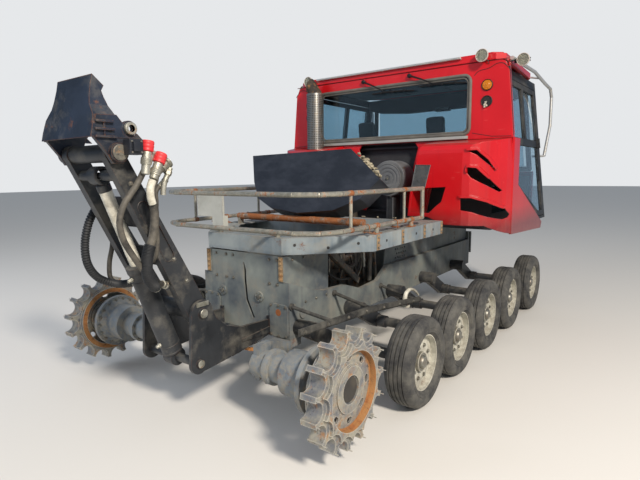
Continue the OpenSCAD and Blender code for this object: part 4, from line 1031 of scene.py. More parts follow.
bm = bmesh.new()
stack = at(STACK_X, STACK_Y, 0)
perforated(bm, stack, 1.505, 2.68, SHIELD_R)
SPACER = ((0, SHIELD_R), (0, PIPE_R), (0.003, PIPE_R), (0.003, SHIELD_R))
for z in (1.500, 2.10, 2.672):
    collar(bm, stack + Z * z, Z, 0.008, 0.001, SHIELD_R + 0.0005, SHIELD_R + 0.0022, 48)
    turned(bm, SPACER, stack + Z * z, Z, 48, caps=False)
bolt(bm, stack + Vector((-SHIELD_R - 0.003, -0.02, 2.672)), -X, 0.014)
bake("heat_shield_tube", bm, heat_shield, "chassis", 40, ["exhaust_stack"])

bm = bmesh.new()
HINGE_Y, HINGE_Z = 0.097, 2.690  # the bend's inner corner, left of the pipe
MOUTH_TILT = math.radians(72)


def stack_ring(radius, tilt, z=HINGE_Z):
    """A ring of the pipe, tipped to the left about the bend's inner corner."""
    ring = []
    for k in range(40):
        a = math.tau * k / 40
        across = math.cos(a) * radius - HINGE_Y
        y, rise = HINGE_Y + across * math.cos(tilt), -across * math.sin(tilt)
        ring.append(stack + Vector((math.sin(a) * radius, y, z + rise)))
    return ring


outer = [stack_ring(PIPE_R, 0, z) for z in (1.30, 2.0, HINGE_Z)] + [stack_ring(PIPE_R, MOUTH_TILT)]
bore = PIPE_R - WALL
inner = [stack_ring(bore, MOUTH_TILT), stack_ring(bore, 0), stack_ring(bore, 0, 2.0)]
skin(bm, outer + inner, 0, False, False)
turned(bm, [(z, SHIELD_R - 0.0025) for z in (1.51, 2.668)], stack, Z, 40, caps=False)  # dark lagging
KNEE = ((0.38, 1.081), (0.38, 1.22), (0.40, 1.295), (0.45, 1.33), (0.86, 1.33), (0.91, 1.34), (0.935, 1.40))
sweep(bm, bent([(STACK_X, y, z) for y, z in KNEE], 5), 0.0545, 28)
for y in (0.529, 0.809):
    collar(bm, at(STACK_X, y, 1.33), Y, 0.009, 0.001, 0.0548, 0.059, 28)
bake("exhaust_pipe", bm, exhaust_scale, "chassis")
print("exhaust triangles", tally["heat_shield_tube"])

# %% [markdown]
# The guard rail is clamped to its posts and feet. U-bolts, saddle plates and welded collars are what
# the eye finds between long plain tubes. The bar across the deck is bare rusty pipe.

# %% Rail fittings
RAIL_HALF, RAIL_LOW, RAIL_TOP, DECK_TOP = 0.870, 1.285, 1.555, 1.220
U_BOLT_R = 0.022
bm = bmesh.new()
for s in (-1, 1):
    y = s * RAIL_HALF
    for x in (0.710, 1.560):  # posts between the tubes
        for z in (RAIL_LOW, RAIL_TOP):
            collar(bm, at(x, y, z), X, 0.022, 0.004, 0.0192, 0.0215)
    for x in (1.080, 1.700):  # feet on the deck
        foot = at(x, y, DECK_TOP)
        brick(bm, foot + Vector((-0.05, -0.028, 0.0)), foot + Vector((0.05, 0.028, 0.009)))
        for k in (-1, 1):
            bolt(bm, foot + Vector((0.036 * k, 0, 0.009)), Z, 0.016)
        collar(bm, at(x, y, RAIL_LOW), X, 0.028, 0.002, 0.0194, 0.024)
    for x in (0.94, 1.40):  # U-bolts under the lower tube
        turns = [math.pi * k / 8 for k in range(9)]
        loop = [at(x, y + U_BOLT_R * math.cos(a), RAIL_LOW + U_BOLT_R * math.sin(a)) for a in turns]
        legs = [at(x, y + U_BOLT_R, RAIL_LOW - 0.05), at(x, y - U_BOLT_R, RAIL_LOW - 0.05)]
        sweep(bm, legs[:1] + loop + legs[1:], 0.0042, 6)
        low = (x - 0.012, y - 0.036, RAIL_LOW - 0.042)
        bricks(bm, (low, (x + 0.012, y + 0.036, RAIL_LOW - 0.034), 0, 0.002))
bake("rail_fittings", bm, rusty_tube, "chassis")

bm = bmesh.new()
BAR_X, BAR_Z = 1.13, DECK_TOP + 0.075
sweep(bm, [at(BAR_X, y, BAR_Z) for y in (-0.7255, 0.7255)], 0.0306, 28)
for y in (-0.60, -0.2, 0.3, 0.66):
    collar(bm, at(BAR_X, y, BAR_Z), Y, 0.03, 0.002, 0.0305, 0.0335, 28)
bake("deck_bar", bm, rusty_tube, "chassis")

# %% [markdown]
# The deck's rim is pressed channel. Splice strips join its lengths and rust along their edges, open
# bolt holes show on its sides as dark discs of painted shade, and bright wear plates lie on top where
# people step.

# %% Deck fittings
DECK_HALF, DECK_LOW, BEND_X, DECK_REAR_HALF, HULL_REAR = 0.900, 1.090, 1.000, 0.410, 0.460
# Each open bolt hole is a dark disc: painted shade of the hole's inside.
HOLE = ((0, 0.012), (0.0012, 0.0115), (0.0013, 0))  # an open bolt hole, as a dark disc
TOP_BOLTS = ((0.62, 0.36), (0.86, 0.52), (1.10, 0.80), (1.38, 0.80), (1.66, 0.80), (1.98, 0.80), (2.24, 0.80))
bm = bmesh.new()
for s in (-1, 1):
    y = s * DECK_HALF
    outer_y = y + s * 0.005
    for x in (1.035, 1.46, 1.90, 2.30):  # splice strips on the side channel
        low = (x, min(y, outer_y), DECK_LOW + 0.004)
        bricks(bm, (low, (x + 0.045, max(y, outer_y), DECK_TOP - 0.004), 1, 0.0015))
        for z in (1.115, 1.155, 1.195):
            bolt(bm, at(x + 0.0225, outer_y, z), Y * s, 0.014)
    for x in (1.20, 1.75, 2.12):
        turned(bm, HOLE, at(x, y, 1.155), Y * s, 16, 3)
    slant = Vector((BEND_X - HULL_REAR, s * (DECK_HALF - DECK_REAR_HALF), 0)).normalized()
    out = Vector((-slant.y, slant.x, 0)) * s
    corner = at(HULL_REAR, s * DECK_REAR_HALF, 0)
    for d, z in ((0.10, 1.165), (0.36, 1.135), (0.60, 1.160)):
        turned(bm, HOLE, corner + slant * d + Z * z, out, 16, 3)
    for x, half in TOP_BOLTS:
        bolt(bm, at(x, s * half, DECK_TOP), Z, 0.018)
    for first, last in ((1.18, 1.52), (1.60, 1.86), (1.94, 2.28)):  # wear plates
        low = (first, s * 0.78 - 0.085, DECK_TOP - 0.001)
        bricks(bm, (low, (last, s * 0.78 + 0.085, DECK_TOP + 0.004), 2, 0.002))
bake("deck_fittings", bm, [plated_bolt, tan_rust, wear_plate, black_rubber_and_hole_shade], "chassis")
print("deck", tally["deck_fittings"], tally["rail_fittings"])

# %% [markdown]
# The hull's rear face shows its history: hexagon bolts down the corner posts, two round access
# covers with small bolts, a raised cover low on each side, and a spot of orange primer.

# %% Hull fittings
HULL_HALF, TUB_HALF = 0.430, 0.475
POST_HALF = HULL_HALF - 0.025
COVER_BOLTS = ((0.30, 0.695), (0.30, 0.465), (0.45, 0.695), (0.45, 0.465), (0.375, 0.70), (0.375, 0.46))
bm = bmesh.new()
for s in (-1, 1):
    for z in (0.905, 0.945, 0.985, 1.025, 1.060):
        bolt(bm, at(HULL_REAR - 0.008, s * POST_HALF, z), -X, 0.02, 1)
    low = (HULL_REAR - 0.0095, s * POST_HALF - 0.0235, 0.888)
    bricks(bm, (low, (HULL_REAR - 0.006, s * POST_HALF + 0.0235, 1.078), 1, 0.001))
    for y, z in COVER_BOLTS:
        bolt(bm, at(HULL_REAR - 0.014, s * y, z), -X, 0.016)
    for x in (0.56, 0.70, 0.84, 1.2, 1.5, 1.8, 2.1, 2.4, 2.7):
        bolt(bm, at(x, s * HULL_HALF, 1.045), Y * s, 0.016)
    for x in (0.52, 0.66, 0.80, 0.94):
        bolt(bm, at(x, s * TUB_HALF, 0.70), Y * s, 0.016)
for y in (-0.17, 0.25):
    cover = at(HULL_REAR - 0.012, y, 0.74)
    bolt_ring(bm, cover, 0.032, 6, -X, 0.010, washer=False, first=Y)
    turned(bm, [(0, 0.020), (0.006, 0.019), (0.008, 0.014), (0.008, 0.0)], cover, -X, 24)
for y in (-0.36, -0.28, 0.12, 0.20, 0.32):
    for z in (0.86, 1.05):
        bolt(bm, at(HULL_REAR, y, z), -X, 0.018)
turned(bm, [(0, 0.027), (0.0012, 0.026), (0.0014, 0.0)], at(HULL_REAR - 0.014, -0.375, 0.645), -X, 18, 2)
bake("hull_fittings", bm, [plated_bolt, tan_rust, primer_spot], "chassis")

# %% [markdown]
# Through the opening on the right show a slanted brace, an upright post and a bright pipe, placed
# as the picture shows them. The round cover, hoses and wires stand for clutter that it blurs.

# %% Gear in the engine bay
FLAT_BARS = (  # one end, the other end, width, thickness
    ((1.067, -0.405, 1.050), (1.538, -0.405, 0.700), 0.055, 0.022),
    ((1.090, -0.380, 1.020), (1.500, -0.380, 0.715), 0.018, 0.050),
    ((1.774, -0.395, 1.060), (1.760, -0.395, 0.660), 0.045, 0.020),
    ((1.850, -0.385, 1.060), (1.905, -0.385, 0.640), 0.032, 0.018),
)
TURNED_GEAR = (  # profile, foot, direction, points around, material
    (((0, 0.013), (0.003, 0.020), (0.030, 0.020), (0.034, 0.013)), (1.666, -0.391, 0.96), Z, 14, 1),
    (((0, 0.013), (0.003, 0.018), (0.022, 0.018), (0.026, 0.013)), (1.674, -0.392, 0.86), Z, 14, 1),
    (((0, 0.098), (0.006, 0.104), (0.050, 0.104), (0.056, 0.098), (0.060, 0.070), (0.060, 0)),
     (1.40, -0.236, 0.93), -Y, 36, 0),
    (((0, 0.050), (0.012, 0.052), (0.018, 0.046), (0.018, 0)), (1.40, -0.296, 0.93), -Y, 28, 2),
)
BAY_HOSES = (  # radius and stations
    (0.017, (
        (1.20, -0.33, 0.98), (1.34, -0.36, 0.86), (1.50, -0.37, 0.84),
        (1.64, -0.35, 0.90), (1.72, -0.33, 1.04),
    )),
    (0.012, (
        (1.12, -0.32, 0.86), (1.26, -0.37, 0.76), (1.44, -0.38, 0.74),
        (1.58, -0.37, 0.78), (1.70, -0.34, 0.86),
    )),
    (0.014, ((1.52, -0.30, 1.05), (1.56, -0.36, 0.95), (1.55, -0.37, 0.84), (1.60, -0.36, 0.72))),
    (0.010, ((1.70, -0.31, 1.04), (1.73, -0.35, 0.92), (1.70, -0.37, 0.80), (1.72, -0.36, 0.70))),
    (0.012, ((1.80, -0.30, 1.04), (1.83, -0.35, 0.95), (1.81, -0.36, 0.84), (1.86, -0.34, 0.74))),
)
bm = bmesh.new()
for low, high, wide, thick in FLAT_BARS:
    along = at(*high) - at(*low)
    outline = ((0, -wide / 2), (along.length, -wide / 2), (along.length, wide / 2), (0, wide / 2))
    slab(bm, outline, at(*low), along.normalized(), along.cross(Y).normalized(), thick, 0, 0.002)
sweep(bm, bent([(1.660, -0.390, 1.060), (1.668, -0.392, 0.95), (1.678, -0.392, 0.81)], 4), 0.013, 12, 1)
for profile, foot, way, around, mat in TURNED_GEAR:
    turned(bm, profile, at(*foot), way, around, mat)
for radius, run in BAY_HOSES:
    sweep(bm, bent(run, 8), radius, 10, 2)
for k in range(9):
    x = 1.14 + 0.085 * k
    low, high = rng.uniform(0.66, 0.74), rng.uniform(0.86, 1.02)
    lean, side = rng.uniform(-0.06, 0.06), rng.uniform(-0.34, -0.30)
    line = bent([(x, side, high), (x + lean, side - 0.03, (low + high) / 2), (x + lean * 1.6, side, low)], 6)
    sweep(bm, line, rng.choice((0.004, 0.005, 0.008)), 8, 2 + k % 2)
bake("engine_bay_gear", bm, [engine_iron, fitting_steel, hose_rubber, wire_plastic], "chassis")
print("engine bay gear", tally["engine_bay_gear"])

# %% [markdown]
# Under the hood and around it lies what was left of the insulation: torn scraps of yellowed foam.
# The air cleaner behind it is a spun drum with pressed rings, three clips and a nut in the middle.

# %% Air cleaner and insulation scraps
DRUM = at(2.56, -0.170, 1.640)
FACE_STEPS = (  # (in front of the face, radius)
    (0.012, 0.1655), (0, 0.165), (-0.002, 0.160), (0.003, 0.150), (-0.002, 0.138),
    (-0.002, 0.120), (0.004, 0.110), (-0.001, 0.098), (-0.001, 0.078), (0.004, 0.068),
    (0.0, 0.058), (0.0, 0.034), (0.006, 0.028), (0.006, 0.0),
)
DRUM_BODY = (
    (0.0, 0.190), (0.004, 0.1955), (0.03, 0.1955), (0.034, 0.1985), (0.05, 0.1985), (0.054, 0.1955),
    (0.20, 0.1955), (0.204, 0.1985), (0.216, 0.1985), (0.22, 0.1955), (0.252, 0.1955), (0.2555, 0.190),
)
bm = bmesh.new()
face = DRUM - X * 0.025
turned(bm, FACE_STEPS, face, X, 64)
turned(bm, DRUM_BODY, DRUM, X, 64)
for offset in circle(Y, Z, 0.199, 3, 0.2):
    clamp = DRUM + X * 0.04 + offset
    reach = Vector((0.026, 0.010, 0.010))
    brick(bm, clamp - reach, clamp + reach, 1)
bolt(bm, face - X * 0.006, -X, 0.02, 1)
bricks(bm, ((2.60, -0.21, 1.081), (2.78, -0.13, 1.46), 2, 0.006))
drum_mats = [drum_plastic, plated_bolt, dark_trim_and_inlet_shade]
bake("air_cleaner_drum", bm, drum_mats, "chassis", 30, ["air_cleaner"])


def scrap(bm, place, size):
    """A torn lump of foam: a small sphere, squashed and roughened."""
    made = bmesh.ops.create_icosphere(bm, subdivisions=2, radius=1.0)["verts"]
    squash = Vector((rng.uniform(0.5, 1.0), rng.uniform(0.6, 1.2), rng.uniform(0.3, 0.7))) * size
    spin = Matrix.Rotation(rng.random() * math.tau, 3, "Z")
    for v in made:
        rough = 1 + rng.uniform(-0.28, 0.2)
        v.co = place + spin @ Vector([v.co[i] * squash[i] * rough for i in range(3)])


bm = bmesh.new()
for k in range(9):
    spot = at(2.30 + rng.uniform(0, 0.05), rng.uniform(-0.62, 0.55), DECK_TOP + 0.008)
    scrap(bm, spot, rng.uniform(0.008, 0.02))
hood_top, hood_low = at(1.347, -0.46, 1.913), at(1.22, -0.82, 1.653)
hood_lean = math.radians(26)
hood_out = Vector((math.cos(hood_lean), 0, -math.sin(hood_lean)))
for k in range(46):  # a torn strip along the hood's upper right edge
    t = rng.uniform(0.05, 0.80)
    spot = hood_top.lerp(hood_low, t) + hood_out * rng.uniform(0.06, 0.19) + Z * rng.uniform(-0.02, 0.035)
    scrap(bm, spot, rng.uniform(0.014, 0.040))
for k in range(9):
    spot = at(1.66 + rng.uniform(-0.03, 0.03), rng.uniform(-0.30, 0.10), DECK_TOP + 0.015)
    scrap(bm, spot, rng.uniform(0.015, 0.04))
bake("foam_scraps", bm, foam_scrap, "chassis", 60)
print("scraps", tally["foam_scraps"])

# %% [markdown]
# The lift arm leans back from its pivot to the head. Its small parts are placed in the arm's own
# frame: u forward of the arm's axis, y across, t up from the pivot, as they would be on its drawing.

# %% Arm frame
PIVOT, HEAD_EYE = at(-0.2, 0, 0.78), at(-0.735, 0, 1.825)
FOOT, ROD_EYE = at(-0.24, 0, 0.44), at(-0.70, 0, 1.70)
ARM_UP = (HEAD_EYE - PIVOT).normalized()
ARM_AHEAD = Y.cross(ARM_UP).normalized()


def on_arm(u, y, t):
    return PIVOT + ARM_AHEAD * u + ARM_UP * t + Y * y


# %% [markdown]
# Hydraulic hoses run from the parked couplings at the head down over the beam to the pivot. Hoses
# keep round bends, so every route is a smooth curve through a few listed points. One hose wears a
# plastic guard against chafing, wound round it turn by turn, and the thick one bellows at its foot.

# %% Hoses
HOSES = {  # name: (radius, points in the arm's frame)
    "outer": (0.0180, (
        (0.150, -0.330, 1.09), (0.094, -0.328, 1.05), (-0.012, -0.318, 0.981), (-0.128, -0.312, 0.927),
        (-0.203, -0.306, 0.855), (-0.234, -0.300, 0.752), (-0.231, -0.296, 0.636), (-0.216, -0.292, 0.52),
        (-0.17, -0.27, 0.40), (-0.10, -0.20, 0.31),
    )),
    "thick": (0.0250, (
        (0.206, -0.335, 1.00), (0.123, -0.338, 0.985), (0.087, -0.336, 0.955), (0.037, -0.330, 0.899),
        (0.0, -0.324, 0.785), (-0.073, -0.320, 0.678), (-0.164, -0.314, 0.59), (-0.214, -0.305, 0.495),
        (-0.205, -0.280, 0.40), (-0.15, -0.18, 0.33),
    )),
    "short": (0.0135, (
        (0.159, -0.305, 0.905), (0.085, -0.308, 0.885), (0.053, -0.303, 0.822), (0.004, -0.290, 0.727),
        (-0.042, -0.284, 0.622), (-0.095, -0.262, 0.53), (-0.12, -0.16, 0.46),
    )),
    "guarded": (0.0190, (
        (0.05, 0.30, 0.93), (0.026, 0.318, 0.82), (-0.089, 0.320, 0.737), (-0.183, 0.318, 0.635),
        (-0.241, 0.310, 0.515), (-0.235, 0.300, 0.395), (-0.17, 0.25, 0.30), (-0.10, 0.17, 0.27),
    )),
    "plain": (0.0160, (
        (0.06, 0.29, 0.75), (0.034, 0.296, 0.66), (-0.033, 0.300, 0.534), (-0.122, 0.300, 0.43),
        (-0.169, 0.292, 0.33), (-0.13, 0.22, 0.27),
    )),
}
FERRULE = ((-0.045, 1.02), (-0.043, 1.3), (-0.004, 1.3), (0, 1.1), (0.006, 1.45), (0.022, 1.45), (0.024, 1))
GUARD_PITCH, BELLOWS_END = 0.024, 0.72
bm = bmesh.new()
routes = {}
for name, (radius, points) in HOSES.items():
    line = curve([on_arm(*p) for p in points], 8)
    routes[name] = line
    sweep(bm, line, radius, 14)
    for foot, way in ((line[0], line[0] - line[1]), (line[-1], line[-1] - line[-2])):
        turned(bm, [(d, radius * r) for d, r in FERRULE], foot, way, 12, 1)
guarded = routes["guarded"]
sweep(bm, guarded, 0.0205, 12, 2)
for low, high in zip(guarded, guarded[1:]):
    along = high - low
    count = max(1, round(along.length / GUARD_PITCH))
    for j in range(count):
        collar(bm, low + along * (j / count), along, 0.008, 0.002, 0.0206, 0.0268, 14, 2)
bellows = [p for p in routes["thick"] if (p - PIVOT).length < BELLOWS_END]
sweep(bm, bellows, 0.0275, 16, 2)
for low, high in zip(bellows, bellows[1:]):
    for place in (low, (low + high) / 2):
        collar(bm, place, high - low, 0.006, 0.004, 0.0276, 0.0345, 16, 2)
hose_mats = [hose_rubber, fitting_steel, dark_trim_and_inlet_shade]
bake("arm_hose_set", bm, hose_mats, "lift_arm", 40, ["arm_hoses"])
print("hoses", tally["arm_hose_set"])

# %% [markdown]
# Where a tool would plug in, the couplings are parked on the head: steel quick couplers with red
# dust caps, a black valve block above them and a pale elbow. The caps have moulded grip rings.

# %% Couplings and valve block
DUST_CAP = (
    (0.0, 0.028), (0.004, 0.035), (0.016, 0.0355), (0.02, 0.0335), (0.026, 0.0355), (0.034, 0.0355),
    (0.04, 0.0335), (0.046, 0.0355), (0.056, 0.035), (0.062, 0.031), (0.064, 0.018), (0.064, 0.0),
)
COUPLER = ((-0.075, 0.025), (-0.072, 0.031), (-0.036, 0.031), (-0.034, 0.027), (-0.008, 0.027), (0.0, 0.025))
ELBOWS = (  # stations, radius, points around, material
    (((-0.580, -0.356, 1.672), (-0.596, -0.354, 1.630), (-0.594, -0.348, 1.580), (-0.580, -0.342, 1.535)),
     0.022, 14, 4),
    (((-0.470, -0.345, 1.700), (-0.490, -0.345, 1.665), (-0.500, -0.340, 1.620), (-0.500, -0.335, 1.585)),
     0.0165, 12, 3),
)
PLUG = ((0, 0.016), (0.004, 0.022), (0.03, 0.022), (0.034, 0.017), (0.05, 0.017), (0.052, 0.0))
bm = bmesh.new()
bricks(
    bm,
    ((-0.720, -0.372, 1.812), (-0.636, -0.303, 1.898), 0, 0.006),
    ((-0.706, -0.392, 1.830), (-0.668, -0.370, 1.882), 0, 0.005),
)
for dx in (-0.03, 0.028):
    for dz in (-0.03, 0.03):
        bolt(bm, at(-0.678 + dx, -0.372, 1.855 + dz), -Y, 0.011, 1, False)
for place, reach, lean in ((at(-0.602, -0.352, 1.832), 0.15, 0.16), (at(-0.535, -0.356, 1.768), 0.12, 0.45)):
    up = Vector((lean, 0, 1)).normalized()
    turned(bm, DUST_CAP, place, up, 28, 2)
    turned(bm, ((0.02 - reach, 0.016), (0.024 - reach, 0.025)) + COUPLER, place, up, 24, 3)
    for k in range(3):
        grip = [(d + 0.009 * k, r) for d, r in ((-0.066, 0.0312), (-0.063, 0.0328), (-0.060, 0.0312))]
        turned(bm, grip, place, up, 24, 3, caps=False)
for points, radius, around, mat in ELBOWS:
    sweep(bm, bent(points, 5), radius, around, mat)
turned(bm, PLUG, at(-0.472, -0.345, 1.698), Vector((0.5, 0, 1)), 6, 3)
coupling_mats = [black_abs, plated_bolt, red_cap, fitting_steel, sleeve_cover]
bake("parked_couplings", bm, coupling_mats, "lift_arm", 35)

# %% [markdown]
# Pins are what an arm turns on, so their ends get keeper plates and domed caps. The pressed ovals
# that stiffen the beams have a rolled edge. The head's bore carries a bright bushing, and three
# small slots run down each of its sides, drawn as black plates of painted shade.

# %% Pins, pressings and bushings
KEEPER = ((-0.05, -0.016), (0.05, -0.016), (0.05, 0.016), (-0.05, 0.016))
bm = bmesh.new()
for s in (-1, 1):
    out = Y * s
    for pin, r, thick in ((PIVOT, 0.030, 0.007), (FOOT, 0.026, 0.006)):
        turned(bm, [(0, r), (0.004, r + 0.001), (thick, r - 0.002), (thick, 0.0)], pin + out * 0.290, out, 28)
    slab(bm, KEEPER, at(-0.2, s * 0.2765, 0.845), X * s, Z, -0.006, 0, 0.001)
bake("pin_ends", bm, fitting_steel, "chassis")

bm = bmesh.new()
oval_mid = (HEAD_EYE - PIVOT).length * 0.55
for s in (-1, 1):
    line = [on_arm(u, s * 0.2402, oval_mid + t) for u, t in rounded(0.076, 0.426, 0.0379, 8)]
    sweep(bm, line, 0.0035, 6, closed=True)
    for t, u in ((0.43, 0.02), (0.98, 0.0), (0.25, 0.03)):
        bolt(bm, on_arm(u, s * 0.24, t), Y * s, 0.02, 1)
bake("arm_pressings", bm, [black_enamel, plated_bolt], "lift_arm")

BUSHING = ((0, 0.0203), (0.0, 0.034), (0.003, 0.0365), (0.020, 0.036), (0.024, 0.032), (0.024, 0.0203))
EYE_CAP = ((0, 0.044), (0.004, 0.045), (0.008, 0.040), (0.0085, 0.020), (0.011, 0.018), (0.0115, 0.0))
bm = bmesh.new()
for s in (-1, 1):
    out = Y * s
    turned(bm, BUSHING, at(-0.655, s * 0.275, 1.960), out, caps=False)
    turned(bm, EYE_CAP, HEAD_EYE + out * 0.300, out, 32, 1)
    across, up = (X * 0.82 + Z * -0.57) * s, Z * 0.82 + X * 0.57
    # Each slot is a thin black plate: painted shade of the slot's inside.
    for x, z in ((-0.838, 1.985), (-0.805, 1.962), (-0.775, 1.938)):
        slab(bm, rounded(0.020, 0.010, 0.0049, 4), at(x, s * 0.2785, z), across, up, -0.0012, 2)
bake("head_bushings", bm, [fitting_steel, cap_steel, black_rubber_and_hole_shade], "lift_head")

# %% [markdown]
# The cylinder's barrel has three welded rings, a gland and two hexagonal ports. A pale plastic
# sleeve is slid over the rod, wrinkled a little by the sun.

# %% Cylinder
ROD_UP = (ROD_EYE - FOOT).normalized()
ROD_LONG = (ROD_EYE - FOOT).length
GLAND = ((0.731, 0.0725), (0.734, 0.066), (0.738, 0.050), (0.738, 0.0395))
PORT = ((0.06, 0.017), (0.078, 0.017), (0.080, 0.013), (0.095, 0.013), (0.097, 0.010), (0.102, 0.0))
bm = bmesh.new()
for d in (0.051, 0.106, 0.626):
    collar(bm, FOOT + ROD_UP * d, ROD_UP, 0.006, 0.002, 0.0682, 0.0712, 40)
turned(bm, GLAND, FOOT, ROD_UP, 40, caps=False)
for d in (0.14, 0.66):
    turned(bm, PORT, FOOT + ROD_UP * d, ROD_UP.cross(Y), 6, 1)
bake("barrel_fittings", bm, [black_enamel, fitting_steel], "lift_barrel")

bm = bmesh.new()
WRINKLE_PITCH = 0.011
profile = []
d = 0.40
while d < ROD_LONG - 0.058:
    profile.append((d, 0.0376 + 0.0012 * rng.random()))
    d += WRINKLE_PITCH
turned(bm, profile, FOOT, ROD_UP, 40)
for d in (0.33, 0.383):
    turned(bm, [(d, 0.030), (d + 0.001, 0.0558), (d + 0.001, 0.056), (d, 0.030)], FOOT, ROD_UP, 24)
eye = [(-0.045, 0.0391), (-0.045, 0.0535), (-0.042, 0.056), (0.042, 0.056), (0.045, 0.0535), (0.045, 0.0391)]
turned(bm, eye + eye[:1], ROD_EYE, Y, 40, 1, caps=False)
neck = [(ROD_LONG + d, r) for d, r in ((-0.10, 0.0388), (-0.096, 0.0425), (-0.058, 0.0425), (-0.05, 0.036))]
turned(bm, neck, FOOT, ROD_UP, 32, 1)
bake("rod_sleeve", bm, [sleeve_cover, black_enamel], "lift_rod", 30, ["lift_rod"])
print("arm", tally["arm_pressings"], tally["rod_sleeve"])

# %% [markdown]
# Low down hang layered strips of belt rubber, bolted to their stays, and under the tail a pressed
# lip glows with fresh orange rust.

# %% Strips and lip
UPPER = ((0.110, 0.690), (1.000, 0.640), (1.950, 0.520))
LOWER = ((0.110, 0.640), (1.000, 0.585), (1.950, 0.470))
bm = bmesh.new()
for s in (-1, 1):
    for layer in range(3):
        inset = 0.006 * layer
        outline = [(x, z - inset) for x, z in UPPER] + [(x, z + inset) for x, z in reversed(LOWER)]
        slab(bm, outline, at(0, s * (0.8535 + 0.005 * layer), 0), X, Z, -0.0045 * s, 0, 0.001)
    for x in (0.16, 0.42, 0.68, 0.94, 1.22, 1.50, 1.78):
        z = 0.665 - (x - 0.11) * 0.056 if x < 1 else 0.6125 - (x - 1) * 0.124
        bolt(bm, at(x, s * 0.866, z), Y * s, 0.02, 1)
bake("strip_layers", bm, [strip_rubber, plated_bolt], "chassis")

LIP_TOP = ((-0.330, 0.396), (-0.200, 0.373), (0.0, 0.367), (0.200, 0.373), (0.330, 0.396))
LIP_LOW = ((0.330, 0.371), (0.200, 0.347), (0.0, 0.341), (-0.200, 0.347), (-0.330, 0.371))
bm = bmesh.new()
slab(bm, LIP_TOP + LIP_LOW, at(0.2985, 0, 0), Y, Z, 0.013, 0, 0.002)
bake("rusty_lip", bm, lip_rust, "chassis")

# %% [markdown]
# Three short ribs stiffen each side of the lift's head, where its shell is widest. They are welded
# plates, and rust starts at their ends. A white tow hook hangs beside the wheels on the right.

# %% Ribs on the head, and the tow hook
RIB_IN, RIB_OUT, TIE_OUT = 0.262, 0.295, 0.284
RIBS = (  # rear end, front end, height from and to, how far out
    (-0.856, -0.756, 1.984, 1.996, RIB_OUT),
    (-0.862, -0.752, 1.942, 1.954, RIB_OUT),
    (-0.864, -0.742, 1.902, 1.914, RIB_OUT),
    (-0.812, -0.802, 1.91, 1.99, TIE_OUT),
)
bm = bmesh.new()
for s in (-1, 1):
    for rear, ahead, low, high, reach in RIBS:
        near, far = sorted((s * RIB_IN, s * reach))
        bricks(bm, ((rear, near, low), (ahead, far, high), 0, 0.002))
bake("head_ribs", bm, head_enamel, "lift_head")

TOW_HOOK = (
    (1.742, 0.470), (1.739, 0.535), (1.765, 0.585), (1.830, 0.604),
    (1.909, 0.589), (1.985, 0.548), (2.030, 0.512),
)
bm = bmesh.new()
sweep(bm, bent([(x, -0.80, z) for x, z in TOW_HOOK], 5), lambda t: 0.024 - 0.014 * t, 12)
bricks(bm, ((1.72, -0.84, 0.455), (1.77, -0.76, 0.480), 0, 0.006))
bake("tow_hook", bm, sleeve_cover, "chassis")

# %% [markdown]
# Two seats stand in the cab. Each has a squab, a back with side bolsters and a headrest: soft
# cushions drawn as rounded boxes with a crown, with a piped seam round the edge and pulled panels.

# %% Seats
SEATS = (0.520, -0.420)
ROWS, AROUND, SQUARENESS = 26, 44, 0.28


def swell(value):
    """Pushes a sine or cosine towards 1 or -1, so that a ball becomes a rounded box."""
    return math.copysign(abs(value) ** SQUARENESS, value)


def cushion(bm, middle, ways, wide, high, thick, crown=0.018):
    """A soft block: a ball pressed towards a box, with a crowned face, seams and small wrinkles."""
    across, up, out = ways
    rings = []
    for j in range(1, ROWS):
        tilt = math.pi * (j / ROWS - 0.5)
        ring = []
        for k in range(AROUND):
            a = math.tau * k / AROUND
            x, y = [swell(v) * math.cos(tilt) ** SQUARENESS for v in (math.cos(a), math.sin(a))]
            z = swell(math.sin(tilt))
            pull = 1 - 0.05 * math.exp(-((abs(x) - 0.62) / 0.05) ** 2)
            puff = crown * (1 - x * x) * (1 - y * y) * (1 if z > 0 else 0.2)
            ripple = 0.0018 * math.sin(9 * x + 3.1 * y + 1.7 * z) * math.sin(11 * y - 2 * x)
            rise = (z * thick / 2) * pull + puff * z + ripple
            ring.append(middle + across * (x * wide / 2) + up * (y * high / 2) + out * rise)
        rings.append(ring)
    skin(bm, rings)
    seam = [
        middle + across * (p * 0.985) + up * (q * 0.985) + out * (thick * 0.30)
        for p, q in rounded(wide, high, min(wide, high) * 0.2, 6)
    ]
    sweep(bm, seam, 0.0045, 6, 1, closed=True)


